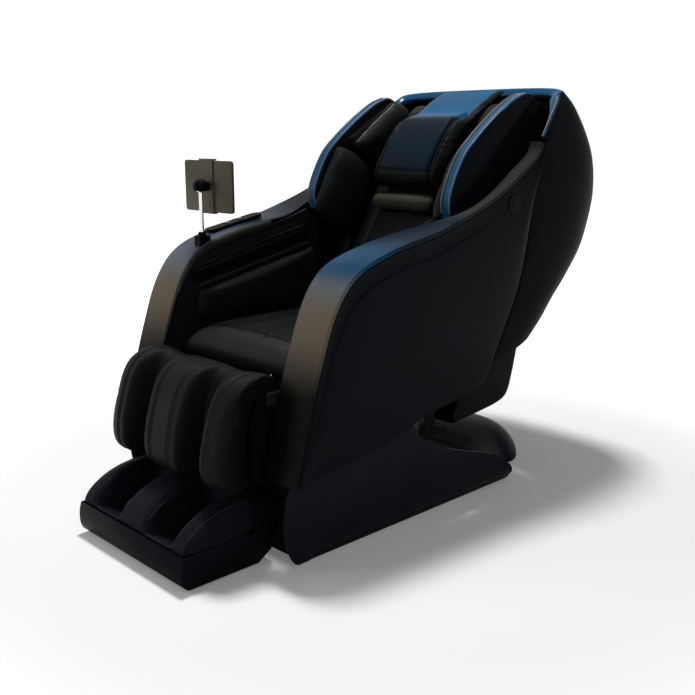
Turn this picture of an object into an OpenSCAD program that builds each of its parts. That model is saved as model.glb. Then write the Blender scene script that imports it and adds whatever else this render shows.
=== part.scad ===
// Reclining massage chair with a zero-gravity tilt: a floor base, a tilting seat unit with tall
// side panels, a hooded back rest with shoulder wings, a lifting leg rest and a sliding foot unit.
// Sizes are in millimetres. +Z is up, the sitter faces -Y, and the origin is on the floor under
// the middle of the chair. Inside the modules Y is counted from the base's front corner.

/* [Chair] */
// Half of the width across the side panels
half_width = 382; // [378:1:386]
// Distance from the base's front corner back to the middle of the chair
front_to_middle = 526; // [520:1:540]
// Inner edge of the arm bands, from the middle plane
arm_inner = 262; // [258:1:266]
// Half of the leg rest's width
leg_half = 245; // [240:1:248]

/* [Pivots] */
// Tilt pivot behind the base's front corner
tilt_y = 400; // [396:1:404]
// Height of the tilt pivot
tilt_z = 250; // [246:1:254]
// Hip pivot behind the base's front corner
hip_y = 640; // [636:1:644]
// Height of the hip pivot
hip_z = 385; // [382:1:388]
// Knee pivot behind the base's front corner
knee_y = -20; // [-22:1:-18]
// Height of the knee pivot
knee_z = 425; // [423:1:427]
// Lean of the back rest from upright
back_lean = 29.8; // [29:0.1:30.5]

/* [Tablet holder] */
// Distance of the holder's pole from the middle plane
pole_x = 276; // [272:1:286]
// Width of the tablet
tablet_w = 228; // [190:1:234]
// Height of the tablet
tablet_h = 146; // [130:1:150]

/* [Fits] */
// Radius of the tilt and hip shafts
shaft_r = 12; // [10:1:14]
// Radial gap of a turning or sliding fit
running_gap = 0.06; // [0.03:0.01:0.09]

/* [Hidden] */
$fn = 48;

steel = "#3a3d42";
bright = "#c9ccd0";
navy = "#14171d";
leather = "#101216";
gloss = "#26506e";
taupe = "#6f6a5c";
rubber = "#18191b";

// Arm curve at the band's outer edge, [y, z], from the foot of the arm up and back to the kink
arm_outer = [[-57, 236], [-38, 320], [-4, 440], [22, 522], [52, 606], [85, 667], [125, 712],
    [184, 745], [288, 776], [400, 796], [477, 814], [600, 853], [685, 887], [773, 933],
    [860, 990], [878, 1026]];
// Band's inner edge, [x, y, z], matched point by point to the arm curve
arm_inner_edge = [[arm_inner, -57, 236], [arm_inner, -38, 322], [arm_inner, -4, 446],
    [arm_inner, 26, 536], [arm_inner, 56, 616], [arm_inner, 90, 680], [arm_inner, 134, 726],
    [arm_inner, 190, 752], [arm_inner, 288, 777], [arm_inner, 400, 797], [arm_inner + 8, 480, 809],
    [318, 600, 840], [330, 700, 884], [332, 790, 943], [332, 866, 991],
    [332, 883, 1025]];
// Side panel's lower and rear edge, matched point by point to the arm curve
panel_low = [[-34, 232], [-10, 236], [60, 243], [114, 248], [165, 255], [213, 262], [290, 277],
    [362, 297], [421, 316], [510, 330], [589, 343], [651, 368], [706, 464], [797, 639],
    [852, 872], [896, 1012]];
// Base cover's top edge, [y, z], from the front corner over the hump to the rear deck
cover_top = [[-36, 242], [0, 236], [114, 249], [213, 262], [320, 275], [379, 290], [420, 244],
    [483, 212], [536, 188], [640, 155], [744, 122], [796, 90], [806, 80]];
cover_low = [[6, 3], [30, 3], [90, 3], [180, 3], [270, 3], [350, 3], [420, 3], [490, 3],
    [560, 3], [650, 3], [760, 3], [830, 3], [862, 3]];
cover_x_top = 352;
cover_x_low = 314;

// Hood of the back rest in the back's own plane, [behind, up] from the hip: its front edge, its
// rearmost line and its half width, level by level from the lower edge to the top rim
hood_front = [[16, 30], [26, 120], [24, 210], [15, 302], [-15, 414], [-57, 520], [-92, 610],
    [-88, 700], [-72, 772], [-52, 836], [-42, 868]];
hood_rear = [[274, 262], [298, 320], [322, 392], [359, 470], [395, 570], [399, 664], [380, 750],
    [317, 822], [227, 870], [95, 903], [-16, 910]];
hood_half = [368, 372, 374, 374, 374, 372, 370, 366, 356, 342, 326];
hood_wall = 6;

base_rail_x = 250;
upright_x = 300;
seat_plate_x = 316;
plate_wall = 8;
cushion_front = -136;

// Straight mix of a and b
function mix(a, b, t) = a + (b - a) * t;
function clamp01(t) = min(1, max(0, t));
function smooth(low, high, value) =
    let (t = clamp01((value - low) / (high - low))) t * t * (3 - 2 * t);
// Point of a Catmull-Rom spline between b and c
function spline_point(a, b, c, d, t) =
    0.5 * (2 * b + (c - a) * t + (2 * a - 5 * b + 4 * c - d) * t * t
        + (3 * b - a - 3 * c + d) * t * t * t);
function spline(points, steps) = [
    for (i = [0 : len(points) - 2], j = [0 : steps - 1])
        spline_point(points[max(i - 1, 0)], points[i], points[i + 1],
            points[min(i + 2, len(points) - 1)], j / steps),
    points[len(points) - 1]];
// Path moved sideways, to the right of its direction of travel
function inset(path, gap) = [
    for (i = [0 : len(path) - 1])
        let (run = path[min(i + 1, len(path) - 1)] - path[max(i - 1, 0)])
            path[i] + gap / norm(run) * [run[1], -run[0]]];
// Numbers from -1 to 1 that crowd towards both ends
function spread(count) = [for (i = [0 : count]) sin(90 * (2 * i / count - 1))];
function total(values) = values * [for (v = values) 1];
function volume(points, faces) =
    total([for (f = faces) points[f[0]] * cross(points[f[1]], points[f[2]])]);
function outward(points, faces) =
    volume(points, faces) > 0 ? [for (f = faces) [f[2], f[1], f[0]]] : faces;
function halves(quads) = [for (q = quads) each [[q[0], q[1], q[2]], [q[0], q[2], q[3]]]];

// Closed solid between two grids of points with equal rows and columns
module slab(outer, inner) {
    rows = len(outer);
    cols = len(outer[0]);
    points = [for (grid = [outer, inner], row = grid, p = row) p];
    function at(side, r, c) = (side * rows + r) * cols + c;
    quads = concat(
        [for (r = [0 : rows - 2], c = [0 : cols - 2])
            [at(0, r, c), at(0, r, c + 1), at(0, r + 1, c + 1), at(0, r + 1, c)]],
        [for (r = [0 : rows - 2], c = [0 : cols - 2])
            [at(1, r, c), at(1, r + 1, c), at(1, r + 1, c + 1), at(1, r, c + 1)]],
        [for (c = [0 : cols - 2]) [at(0, 0, c), at(1, 0, c), at(1, 0, c + 1), at(0, 0, c + 1)]],
        [for (c = [0 : cols - 2]) let (r = rows - 1)
            [at(0, r, c), at(0, r, c + 1), at(1, r, c + 1), at(1, r, c)]],
        [for (r = [0 : rows - 2]) [at(0, r, 0), at(0, r + 1, 0), at(1, r + 1, 0), at(1, r, 0)]],
        [for (r = [0 : rows - 2]) let (c = cols - 1)
            [at(0, r, c), at(1, r, c), at(1, r + 1, c), at(0, r + 1, c)]]);
    faces = halves(quads);
    polyhedron(points, outward(points, faces));
}

// Closed solid through rings of points; each ring runs out on one side and back on the other
module loft(rings) {
    n = len(rings[0]);
    last = len(rings) - 1;
    points = [for (ring = rings, p = ring) p];
    quads = concat(
        [for (r = [0 : last - 1], i = [0 : n - 1]) let (j = (i + 1) % n)
            [r * n + i, r * n + j, (r + 1) * n + j, (r + 1) * n + i]],
        [for (i = [0 : n / 2 - 2]) [i, n - 1 - i, n - 2 - i, i + 1]],
        [for (i = [0 : n / 2 - 2]) last * n * [1, 1, 1, 1] + [i, i + 1, n - 2 - i, n - 1 - i]]);
    faces = halves(quads);
    polyhedron(points, outward(points, faces));
}

// Cushion that runs across the chair: its face lies between a back path and a face path, both
// [y, z], by the share that fullness gives for u = -1 to 1 across and t = 0 to 1 along
module across(half, columns, face, back, fullness) {
    rows = len(face) - 1;
    slab(
        [for (r = [0 : rows]) [for (u = columns)
            let (p = mix(back[r], face[r], fullness(u, r / rows))) [u * half, p[0], p[1]]]],
        [for (r = [0 : rows]) [for (u = columns) [u * half * 0.985, back[r][0], back[r][1]]]]);
}

// Crowned pad with rounded corners; place turns u, v (-1 to 1) and height into a point
module pad(place, count_u, count_v, crown, rim, corner = 0.35) {
    function q(u, v) = [u * sqrt(1 - corner * v * v / 2), v * sqrt(1 - corner * u * u / 2)];
    function bulge(u, v) = sqrt(max(0, 1 - pow(u, 4))) * sqrt(max(0, 1 - pow(v, 4)));
    slab(
        [for (v = spread(count_v)) [for (u = spread(count_u))
            let (p = q(u, v)) place(p[0], p[1], rim + crown * bulge(u, v))]],
        [for (v = spread(count_v)) [for (u = spread(count_u))
            let (p = q(u, v)) place(p[0] * 0.97, p[1] * 0.97, 0)]]);
}

// Moves from the base's front corner to the chair's own origin
module home() translate([0, -front_to_middle, 0]) children();
// Places children in the back's own plane: +Y behind the sitter, +Z up the back, from the hip
module reclined() home() translate([0, hip_y, hip_z]) rotate([-back_lean, 0, 0]) children();
// Right side as drawn, left side mirrored
module on_side(side) mirror([side < 0 ? 1 : 0, 0, 0]) children();
// Plate across X from a [y, z] outline
module plate(x, wall, outline) translate([x, 0, 0]) rotate([90, 0, 90]) linear_extrude(wall)
    polygon(outline);
// Rod along X between two places, at [y, z]
module x_rod(r, x0, x1, at) translate([x0, at[0], at[1]]) rotate([0, 90, 0])
    cylinder(h = x1 - x0, r = r);
// Square steel tube along X or Y, open at both ends
module x_tube(x0, x1, y, z, side, wall) difference() {
    translate([x0, y, z]) cube([x1 - x0, side, side]);
    translate([x0 - 1, y + wall, z + wall]) cube([x1 - x0 + 2, side - 2 * wall, side - 2 * wall]);
}
module y_tube(x, y0, y1, z, side, wall) difference() {
    translate([x, y0, z]) cube([side, y1 - y0, side]);
    translate([x + wall, y0 - 1, z + wall]) cube([side - 2 * wall, y1 - y0 + 2, side - 2 * wall]);
}

// ---- Base ----
tilt_at = [tilt_y, tilt_z];
tube_side = 30;
tube_wall = 2.5;
tube_z = 12;
wheel_at = [705, 26];
wheel_r = 24;
axle_r = 5;
tilt_motor_at = [110, 66];
tilt_eye_at = [84, 322];

module base_frame() color(steel) home() difference() {
    union() {
        for (side = [-1, 1]) {
            y_tube(side * base_rail_x - tube_side / 2, 70, 780, tube_z, tube_side, tube_wall);
            plate(side > 0 ? upright_x : -upright_x - plate_wall, plate_wall,
                [[330, 12], [480, 12], [432, 268], [416, 282], [384, 282], [368, 268]]);
            for (y = [345, 435])
                translate([side > 0 ? base_rail_x + 15 : -upright_x, y, 14])
                    cube([upright_x - base_rail_x - 15, 20, 26]);
        }
        for (y = [40, 300, 760])
            x_tube(-base_rail_x - 15, base_rail_x + 15, y, tube_z, tube_side, tube_wall);
        // Beams that carry the mains box under the rear cover
        for (x = [-132, -84])
            y_tube(x, 788, 1009, tube_z, tube_side, tube_wall);
        // Ears that hold the foot of the tilt actuator
        for (x = [74, 100])
            plate(x, 6, [[52, 38], [112, 38], [128, 60], [124, 80], [98, 80]]);
        x_rod(6, 74, 106, tilt_motor_at);
            for (side = [-1, 1])
                on_side(side) x_rod(axle_r, 188, 262, wheel_at);
    }
    x_rod(shaft_r + running_gap, -400, 400, tilt_at);
}

module base_cover(side) {
    top = spline(cover_top, 2);
    low = spline(cover_low, 2);
    levels = [0, 0.12, 0.34, 0.64, 0.88, 1];
    // Front edge bows forwards and the rear end is rounded
    function nose(t, i) = pow(sin(180 * t), 0.6)
        * (18 * smooth(20, 24, i) - 46 * (1 - smooth(0, 8, i)));
    function row(t, depth) = [
        for (i = [0 : len(top) - 1]) let (p = mix(top[i], low[i], t))
            [mix(cover_x_top, cover_x_low, pow(t, 1.25)) + 5 * sin(180 * t) - depth,
                p[0] + nose(t, i), p[1]]];
    color(navy) home() on_side(side) slab([for (t = levels) row(t, 0)], [for (t = levels) row(t, 4.3)]);
}

// Low deck between the side covers that swells into a rounded tongue behind them:
// [y, crown height, half width, squareness]
rear_stations = [[500, 56, 302, 14], [640, 60, 302, 14], [790, 62, 300, 12], [840, 78, 280, 6],
    [890, 98, 250, 4], [950, 113, 231, 3.2], [1000, 115, 234, 3.2], [1050, 109, 214, 3.2],
    [1096, 88, 172, 3], [1130, 52, 116, 3], [1142, 14, 66, 3]];
module base_rear_cover() {
    stations = spline(rear_stations, 2);
    function arch(s, shrink) = [for (u = [-1, -0.98, -0.93, -0.84, -0.7, -0.5, -0.25, 0, 0.25, 0.5,
        0.7, 0.84, 0.93, 0.98, 1]) [(s[2] - shrink) * u, s[0] - shrink * 0.6,
            4 + (s[1] - 4 - shrink) * pow(max(0, 1 - pow(abs(u), s[3])), 0.55)]];
    color(navy) home() difference() {
        slab([for (s = stations) arch(s, 0)], [for (s = stations) arch(s, 5)]);
        translate(inlet_box[0] - [1, 0, 1]) cube(inlet_box[1] - inlet_box[0] + [2, 20, 2]);
    }
}

// Dark panel across the front of the base, behind the foot unit
module base_front_cover() color(rubber) home() {
    translate([-306, 20, 6]) cube([612, 4, 214]);
    for (side = [-1, 1]) on_side(side) translate([266, 23, 12]) cube([8, 17, 60]);
    translate([-266, 23, 12]) cube([532, 17, 6]);
}

module base_feet() color(rubber) home()
    for (x = [-base_rail_x, base_rail_x], y = [110, 745])
        translate([x, y, 0]) cylinder(h = tube_z, r = 22);

module wheel(side) color(rubber) home() on_side(side)
    translate([192, wheel_at[0], wheel_at[1]]) rotate([0, 90, 0]) rotate_extrude()
        polygon([[axle_r + running_gap, 0], [11, 0], [12, 5], [wheel_r - 3, 5], [wheel_r, 9],
            [wheel_r, 23], [wheel_r - 3, 27], [12, 27], [11, 32], [axle_r + running_gap, 32]]);

// Mains box at the rear, with an inlet recess and a well for its rocker switch
inlet_box = [[-138, 1009, 12], [-48, 1112, 58]];
switch_at = [1107, 35];
module power_box() color(rubber) home() difference() {
    translate(inlet_box[0]) cube(inlet_box[1] - inlet_box[0]);
    translate([-86, 1090, 20]) cube([32, 30, 28]);
    translate([-130, 1092, 18]) cube([34, 30, 34]);
    x_rod(3 + running_gap, -134, -92, switch_at);
}
module power_switch() color("#8c1d18") home() {
    x_rod(3, -133, -93, switch_at);
    translate([-125, switch_at[0] - 6, switch_at[1] - 12]) cube([24, 8, 24]);
}

module air_pump() color(bright) home() {
    translate([-190, 110, 43]) cube([120, 170, 70]);
    for (y = [150, 195, 240]) translate([-130, y, 112]) cylinder(h = 16, r = 12);
}

module tilt_shaft() color(bright) home()
    x_rod(shaft_r, -seat_plate_x - plate_wall - 2, seat_plate_x + plate_wall + 2, tilt_at);

// Linear actuator: rear eye at the origin, rod leaving along +Y
eye_r = 14;
pin_r = 6;
module actuator_body(length) difference() {
    union() {
        x_rod(eye_r, -9, 9, [0, 0]);
        translate([-9, 0, -10]) cube([18, 24, 20]);
        translate([-20, 22, -24]) cube([40, 40, 48]);
        translate([0, 60, 0]) rotate([-90, 0, 0]) cylinder(h = length - 60, r = 16);
    }
    x_rod(pin_r + running_gap, -20, 20, [0, 0]);
    translate([0, 50, 0]) rotate([-90, 0, 0]) cylinder(h = length, r = 9 + running_gap);
}
module actuator_rod(start, reach) {
    translate([0, start, 0]) rotate([-90, 0, 0]) cylinder(h = reach - start - 8, r = 9);
    x_rod(12, -8, 8, [reach, 0]);
}
// Turns a tool drawn along +Y so that it runs from one [y, z] to another
module aimed(x, from, to) translate([x, from[0], from[1]])
    rotate([atan2(to[1] - from[1], to[0] - from[0]), 0, 0]) children();

module tilt_motor() color(steel) home() aimed(90, tilt_motor_at, tilt_eye_at)
    actuator_body(200);
module tilt_rod() color(bright) home() aimed(90, tilt_motor_at, tilt_eye_at)
    actuator_rod(60, norm(tilt_eye_at - tilt_motor_at));

// ---- Seat unit ----
hip_at = [hip_y, hip_z];
knee_at = [knee_y, knee_z];
recline_motor_at = [322, 318];
recline_eye_at = [612, 268];
leg_motor_at = [205, 275];
leg_eye_at = [-35, 325];
knee_plate_x = 248.5;

module seat_frame() color(steel) home() {
    difference() {
        union() {
            for (x = [-seat_plate_x - plate_wall, seat_plate_x])
                plate(x, plate_wall, [[40, 392], [44, 442], [300, 442], [600, 424], [662, 402],
                    [664, 366], [640, 356], [560, 356], [444, 318], [424, 228], [376, 228],
                    [352, 300]]);
            // Hinge plates of the leg rest
            for (x = [-knee_plate_x - 6, knee_plate_x])
                plate(x, 6, [[-36, 415], [-36, 435], [-28, 441], [47, 441], [47, 406], [-28, 409]]);
            for (y = [46, 300, 540])
                x_tube(-seat_plate_x, seat_plate_x, y, 404, tube_side, tube_wall);
            // Ears for the three actuators
            for (x = [-16, 10])
                plate(x, 6, [[300, 404], [330, 404], [338, 306], [308, 306]]);
            for (x = [-106, -80])
                plate(x, 6, [[302, 404], [330, 404], [222, 262], [190, 264]]);
            for (x = [74, 100])
                plate(x, 6, [[48, 404], [74, 404], [102, 312], [68, 308]]);
        }
        x_rod(shaft_r + running_gap, -400, 400, tilt_at);
        x_rod(shaft_r + running_gap, -400, 400, hip_at);
        x_rod(10 + running_gap, -300, 300, knee_at);
    }
    x_rod(pin_r, -16, 16, recline_motor_at);
    x_rod(pin_r, -106, -74, leg_motor_at);
}

// Belly pan under the hip, with side webs that hang from the frame's plates
module seat_pan() color(rubber) home() {
    plate(-286, 572, [[430, 226], [476, 211], [600, 206], [600, 210], [477, 215], [432, 230]]);
    for (side = [-1, 1]) on_side(side) {
        plate(282, 4, [[476, 212], [598, 208], [598, 224], [546, 238], [546, 372], [518, 372],
            [502, 240]]);
        translate([282, 518, 362]) cube([seat_plate_x - 282, 28, 10]);
    }
}

module hip_shaft() color(bright) home()
    x_rod(shaft_r, -seat_plate_x - plate_wall - 2, seat_plate_x + plate_wall + 2, hip_at);

module seat_cushion() {
    face = spline([[564, 511], [500, 524], [380, 527], [240, 526], [140, 522], [92, 512],
        [62, 494], [52, 474], [60, 452]], 2);
    back = spline([[560, 450], [500, 444], [400, 442], [320, 442], [240, 442], [180, 442],
        [130, 443], [100, 444], [74, 446]], 2);
    columns = [-1, -0.96, -0.85, -0.6, -0.27, -0.215, -0.16, 0, 0.16, 0.215, 0.27, 0.6, 0.85, 0.96, 1];
    color(leather) home() across(248, columns, face, back, function(u, t)
        0.62 + 0.38 * pow(1 - pow(abs(u), 4), 0.5)
            - 0.06 * (abs(abs(u) - 0.215) < 0.01 && t > 0.1 && t < 0.62 ? 1 : 0));
}

cap_r = 28;
cap_at = [755, 858];
function panel_x(t, i) = half_width - 5 + 5 * sin(180 * t) - 14 * t * t * (1 - smooth(10, 26, i));
module side_panel(side) {
    top = inset(spline(arm_outer, 2), 13);
    low = spline(panel_low, 2);
    levels = [0, 0.15, 0.4, 0.7, 1];
    function row(t, depth) = [
        for (i = [0 : len(top) - 1]) let (p = mix(top[i], low[i], t))
            [panel_x(t, i) - depth, p[0], p[1]]];
    color(navy) home() on_side(side) difference() {
        slab([for (t = levels) row(t, 0)], [for (t = levels) row(t, 4.3)]);
        // Groove round the speaker's cap
        difference() {
            x_rod(cap_r + 1.6, half_width - 3.6, half_width + 6, cap_at);
            x_rod(cap_r, half_width - 8, half_width + 8, cap_at);
        }
    }
}

module arm_band(side) {
    outer = spline(arm_outer, 2);
    inner = spline(arm_inner_edge, 2);
    under = inset(outer, 11);
    function crown(t) = 3 * sin(180 * t);
    function station(i, t, depth) = let (
            out = [half_width - 5, outer[i][0], outer[i][1]],
            drop = under[i] - outer[i],
            p = mix(inner[i], out, t))
        p + [0, drop[0], drop[1]] * (depth - crown(t) / 11);
    color(taupe) home() on_side(side) slab(
        [for (t = [0, 0.25, 0.5, 0.75, 1]) [for (i = [0 : len(outer) - 1]) station(i, t, 0)]],
        [for (t = [0, 0.25, 0.5, 0.75, 1]) [for (i = [0 : len(outer) - 1]) station(i, t, 1)]]);
}

// Inner arm wall with the forearm tunnel: a slot in a padded plate, and a tray behind it
tunnel_slope = 12.3;
tunnel_at = [112, 622];
tunnel_size = [462, 58];
liner_x = 257;
liner_wall = 5;
module tunnel_outline(grow) translate(tunnel_at) rotate(tunnel_slope)
    hull() {
        translate([tunnel_size[1] / 2, tunnel_size[1] / 2])
            circle(tunnel_size[1] / 2 + grow, $fn = 24);
        translate([tunnel_size[0] - tunnel_size[1] / 2, tunnel_size[1] / 2])
            circle(tunnel_size[1] / 2 + grow, $fn = 24);
    }
module arm_liner(side) {
    arm = inset(spline([for (i = [0 : 11]) arm_outer[i]], 2), 14);
    wall_outline = concat([for (p = arm) if (p[0] < 566) p],
        [[578, 800], [600, 700], [604, 455], [400, 452], [60, 452], [42, 446], [42, 300], [30, 244],
            [-38, 240]]);
    color(leather) home() on_side(side) translate([liner_x, 0, 0]) rotate([90, 0, 90]) {
        linear_extrude(liner_wall) difference() {
            polygon(wall_outline);
            tunnel_outline(0);
        }
        translate([0, 0, liner_wall - 1]) linear_extrude(47) difference() {
            tunnel_outline(5);
            tunnel_outline(0);
        }
        translate([0, 0, liner_wall + 45]) linear_extrude(5) tunnel_outline(5);
    }
}
module arm_pad(side) {
    function lip(y) = 616 + (y - 112) * tan(tunnel_slope);
    function place(u, v, h) = let (y = 350 + 236 * u)
        [liner_x - 0.4 - h, y, mix(524, lip(y) - 4, (v + 1) / 2)];
    color(leather) home() on_side(side)
        pad(function(u, v, h) place(u, v, h), 10, 8, 20, 8, 0.2);
}

// Control pod on the left arm, with two keys
pod_slope = 11.3;
pod_at = [-322, 312, 784.6];
key_r = 8;
module on_pod() translate(pod_at) rotate([pod_slope, 0, 0]) children();
module control_pod() color(rubber) home() on_pod() difference() {
    hull() for (y = [-80, 80]) translate([0, y, 0]) cylinder(h = 9, r = 22, $fn = 32);
    for (y = [-24, 24]) translate([0, y, 3]) cylinder(h = 20, r = key_r + running_gap);
}
module pod_key(y) color(bright) home() on_pod() translate([0, y, 4.6]) cylinder(h = 7, r = key_r);

// ---- Tablet holder ----
pole_r = 6;
ball_at = [pole_x, 164, 902];
ball_r = 17;
pole_foot_z = 752;
tablet_turn = 0;
module holder_bracket() color(rubber) home() difference() {
    translate([-pole_x, ball_at[1], 0]) {
        // Saddle that follows the band's top
        plate(-13, 28, [[-18, 734.3], [-10, 739.2], [2, 744.5], [18, 750.7], [18, 764],
            [-18, 764]]);
        translate([0, 0, 763]) cylinder(h = 12, r1 = 13, r2 = 10);
    }
    translate([-pole_x, ball_at[1], pole_foot_z]) cylinder(h = 60, r = pole_r + running_gap);
}
module holder_pole() color(bright) home() translate([-pole_x, ball_at[1], 0]) {
    translate([0, 0, pole_foot_z + 1]) cylinder(h = ball_at[2] - pole_foot_z - 1, r = pole_r);
    translate([0, 0, 775.4]) cylinder(h = 5, r = 9);
    translate([0, 0, ball_at[2]]) sphere(ball_r);
}
module at_ball() translate([-ball_at[0], ball_at[1], ball_at[2]]) rotate([0, 0, tablet_turn])
    children();
module holder_ball() color(rubber) home() at_ball() difference() {
    union() {
        sphere(ball_r + 5);
        rotate([-90, 0, 0]) cylinder(h = 25, r = 12);
    }
    sphere(ball_r + running_gap);
    translate([0, 0, -30]) cylinder(h = 24, r = 19);
}
tablet_shift = -5;
clamp_x = -40;
clamp_w = 64;
module tablet_cradle() color(rubber) home() at_ball() {
    translate([clamp_x, 25, -tablet_h / 2 - 4]) cube([clamp_w, 4, tablet_h + 8]);
    for (z = [-tablet_h / 2 - 4, tablet_h / 2])
        translate([clamp_x, 29, z]) cube([clamp_w, 12, 4]);
}
module tablet() color(taupe) home() at_ball()
    translate([tablet_shift - tablet_w / 2, 29, -tablet_h / 2 + 0.3])
        cube([tablet_w, 9, tablet_h - 0.6]);

// ---- Back rest ----
guide_x = 92;
guide_r = 8;
guide_behind = -12;
screw_r = 7;
module back_frame() color(steel) {
    reclined() difference() {
        union() {
            for (side = [-1, 1]) {
                // Side channel with the hip boss
                translate([side > 0 ? 262 : -270, -18, -22]) cube([8, 48, 790]);
                translate([side > 0 ? 244 : -252, 22, 0]) cube([8, 8, 760]);
                translate([side > 0 ? 244 : -270, 22, 0]) cube([26, 8, 760]);
                translate([side * guide_x, guide_behind, 52]) cylinder(h = 640, r = guide_r);
            }
            for (z = [40, 690]) translate([-262, -18, z]) cube([524, 40, 14]);
            translate([0, guide_behind, 52]) cylinder(h = 640, r = screw_r);
            // Crank ears for the recline actuator
            for (x = [-16, 10]) translate([x, 0, 0]) rotate([90, 0, 90]) linear_extrude(6)
                polygon([[-16, 40], [14, 40], [52, -100], [50, -126], [20, -131], [12, -102]]);
        }
        x_rod(shaft_r + running_gap, -400, 400, [0, 0]);
    }
}

function hood_point(level, u, shrink) = let (
        angle = 90 * u,
        aside = sign(u) * pow(abs(sin(angle)), 0.5),
        depth = pow(abs(cos(angle)), 0.5),
        front = hood_path(hood_front, level),
        rear = hood_path(hood_rear, level),
        half = hood_path(hood_half, level) - shrink,
        reach = norm(rear - front),
        p = mix(front, rear, depth * (1 - shrink / reach)))
    [half * aside, p[0], p[1]];
function hood_path(list, level) = let (
        i = min(floor(level), len(list) - 2), n = len(list) - 1)
    spline_point(list[max(i - 1, 0)], list[i], list[i + 1], list[min(i + 2, n)], level - i);
module back_shell() {
    levels = [for (l = [0 : 0.5 : 10]) l];
    sweep = [-1, -0.985, -0.94, -0.85, -0.74, -0.62, -0.5, -0.36, -0.18, 0, 0.18, 0.36, 0.5,
        0.62, 0.74, 0.85, 0.94, 0.985, 1];
    color(navy) reclined() slab([for (l = levels) [for (u = sweep) hood_point(l, u, 0)]],
        [for (l = levels) [for (u = sweep) hood_point(l, u, hood_wall)]]);
}

// Dark lower shell: a U in plan, with rounded corners, that closes the foot of the back rest
module lower_back_shell() {
    rear = spline([[84, -142], [165, -86], [250, -22], [280, 20], [272, 80], [254, 150],
        [238, 215], [230, 262]], 2);
    front = spline([[46, -132], [34, -70], [26, -10], [26, 30], [30, 80], [40, 140],
        [50, 200], [56, 250]], 2);
    half = 296;
    corner = 40;
    function plan(i, gap) = let (
            run = norm(rear[i] - front[i]) - gap,
            bend = min(corner, run * 0.9),
            right = concat([[half - gap, 0], [half - gap, (run - bend) / 2]],
                [for (a = [0, 30, 60, 90])
                    [half - gap - bend * (1 - cos(a)), run - bend * (1 - sin(a))]],
                [[120, run]]),
            n = len(right))
        concat(right, [for (j = [n - 1 : -1 : 0]) [-right[j][0], right[j][1]]]);
    function ring(i, gap) = [for (q = plan(i, gap)) let (
            p = front[i] + (rear[i] - front[i]) * q[1] / norm(rear[i] - front[i]))
        [q[0], p[0], p[1]]];
    color(rubber) reclined()
        slab([for (i = [0 : len(rear) - 1]) ring(i, 0)], [for (i = [0 : len(rear) - 1]) ring(i, 5)]);
}

// Glossy rim round the hood's opening
module back_trim() {
    climb = [for (l = [7 : 0.5 : 9.5]) [hood_path(hood_half, l), hood_path(hood_front, l)]];
    side = [for (c = climb) [c[0] - hood_wall - 2, c[1][0], c[1][1]]];
    top = [for (u = [1, 0.94, 0.85, 0.74, 0.62, 0.5, 0.36, 0.18]) hood_point(10, u, hood_wall + 2)];
    half_path = concat(side, top);
    path = concat(half_path, [hood_point(10, 0, hood_wall + 2)],
        [for (i = [len(half_path) - 1 : -1 : 0])
            [-half_path[i][0], half_path[i][1], half_path[i][2]]]);
    color(gloss) reclined() loft([for (i = [0 : len(path) - 1]) let (
            p = path[i],
            middle = [0, -20, 560],
            inward = (middle - [p[0], middle[1], p[2]]) / norm(middle - [p[0], middle[1], p[2]]))
        [p + [0, -14, 0], p + [0, 14, 0] + 5 * inward, p + [0, 14, 0] + 30 * inward,
            p + [0, -10, 0] + 30 * inward]]);
}

module back_cushion() {
    face = spline([[-112, 62], [-134, 96], [cushion_front, 180], [-139, 300], [cushion_front, 420],
        [-134, 540], [-130, 660], [-107, 780], [-67, 836]], 2);
    back = spline([[-56, 66], [-56, 100], [-56, 180], [-56, 300], [-56, 420], [-56, 540],
        [-56, 660], [-56, 770], [-56, 826]], 2);
    columns = [-1, -0.96, -0.86, -0.7, -0.63, -0.58, -0.53, -0.3, 0, 0.3, 0.53, 0.58, 0.63, 0.7,
        0.86, 0.96, 1];
    color(leather) reclined() across(206, columns, face, back, function(u, t)
        0.5 + 0.5 * pow(1 - pow(abs(u), 4), 0.5) - (abs(abs(u) - 0.58) < 0.02 ? 0.09 : 0));
}

// Shoulder wing: leading edge and root, [behind, up]
wing_lead = [[-262, 352], [-292, 392], [-303, 450], [-300, 530], [-276, 600], [-246, 667],
    [-216, 724], [-186, 772], [-150, 812]];
wing_root = [[-30, 352], [-28, 400], [-26, 460], [-24, 530], [-22, 600], [-22, 667],
    [-24, 724], [-30, 780], [-44, 826]];
module wing(side) {
    lead = spline(wing_lead, 2);
    root = spline(wing_root, 2);
    function outer_x(t) = 290 + 16 * pow(t, 0.6);
    function inner_x(t) = 256 + 2 * t;
    steps = [0, 0.06, 0.2, 0.45, 0.75, 1];
    function row(t, x, back) = [
        for (i = [0 : len(lead) - 1]) let (p = mix(lead[i], root[i], t)) [x, p[0] + back, p[1]]];
    color(navy) reclined() on_side(side)
        slab([for (t = steps) row(t, outer_x(t), 0)], [for (t = steps) row(t, inner_x(t), 4 * (1 - t))]);
}
// Shoulder pad on the inner face of a wing, between two lines up the back
module shoulder_pad(low, high) color(leather)
    pad(function(u, v, h) let (
            up = mix(low[0], high[0], (v + 1) / 2),
            lead = mix(low[1], high[1], (v + 1) / 2),
            root = mix(low[2], high[2], (v + 1) / 2),
            behind = mix(lead, root, (u + 1) / 2))
        [255.5 - h * (1 + 0.3 * u), behind, up], 9, 9, 36, 10, 0.5);
module upper_pad(side) reclined() on_side(side) shoulder_pad([584, -274, -120], [818, -140, -46]);
module lower_pad(side) reclined() on_side(side) shoulder_pad([326, -290, -130], [574, -296, -116]);

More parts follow.
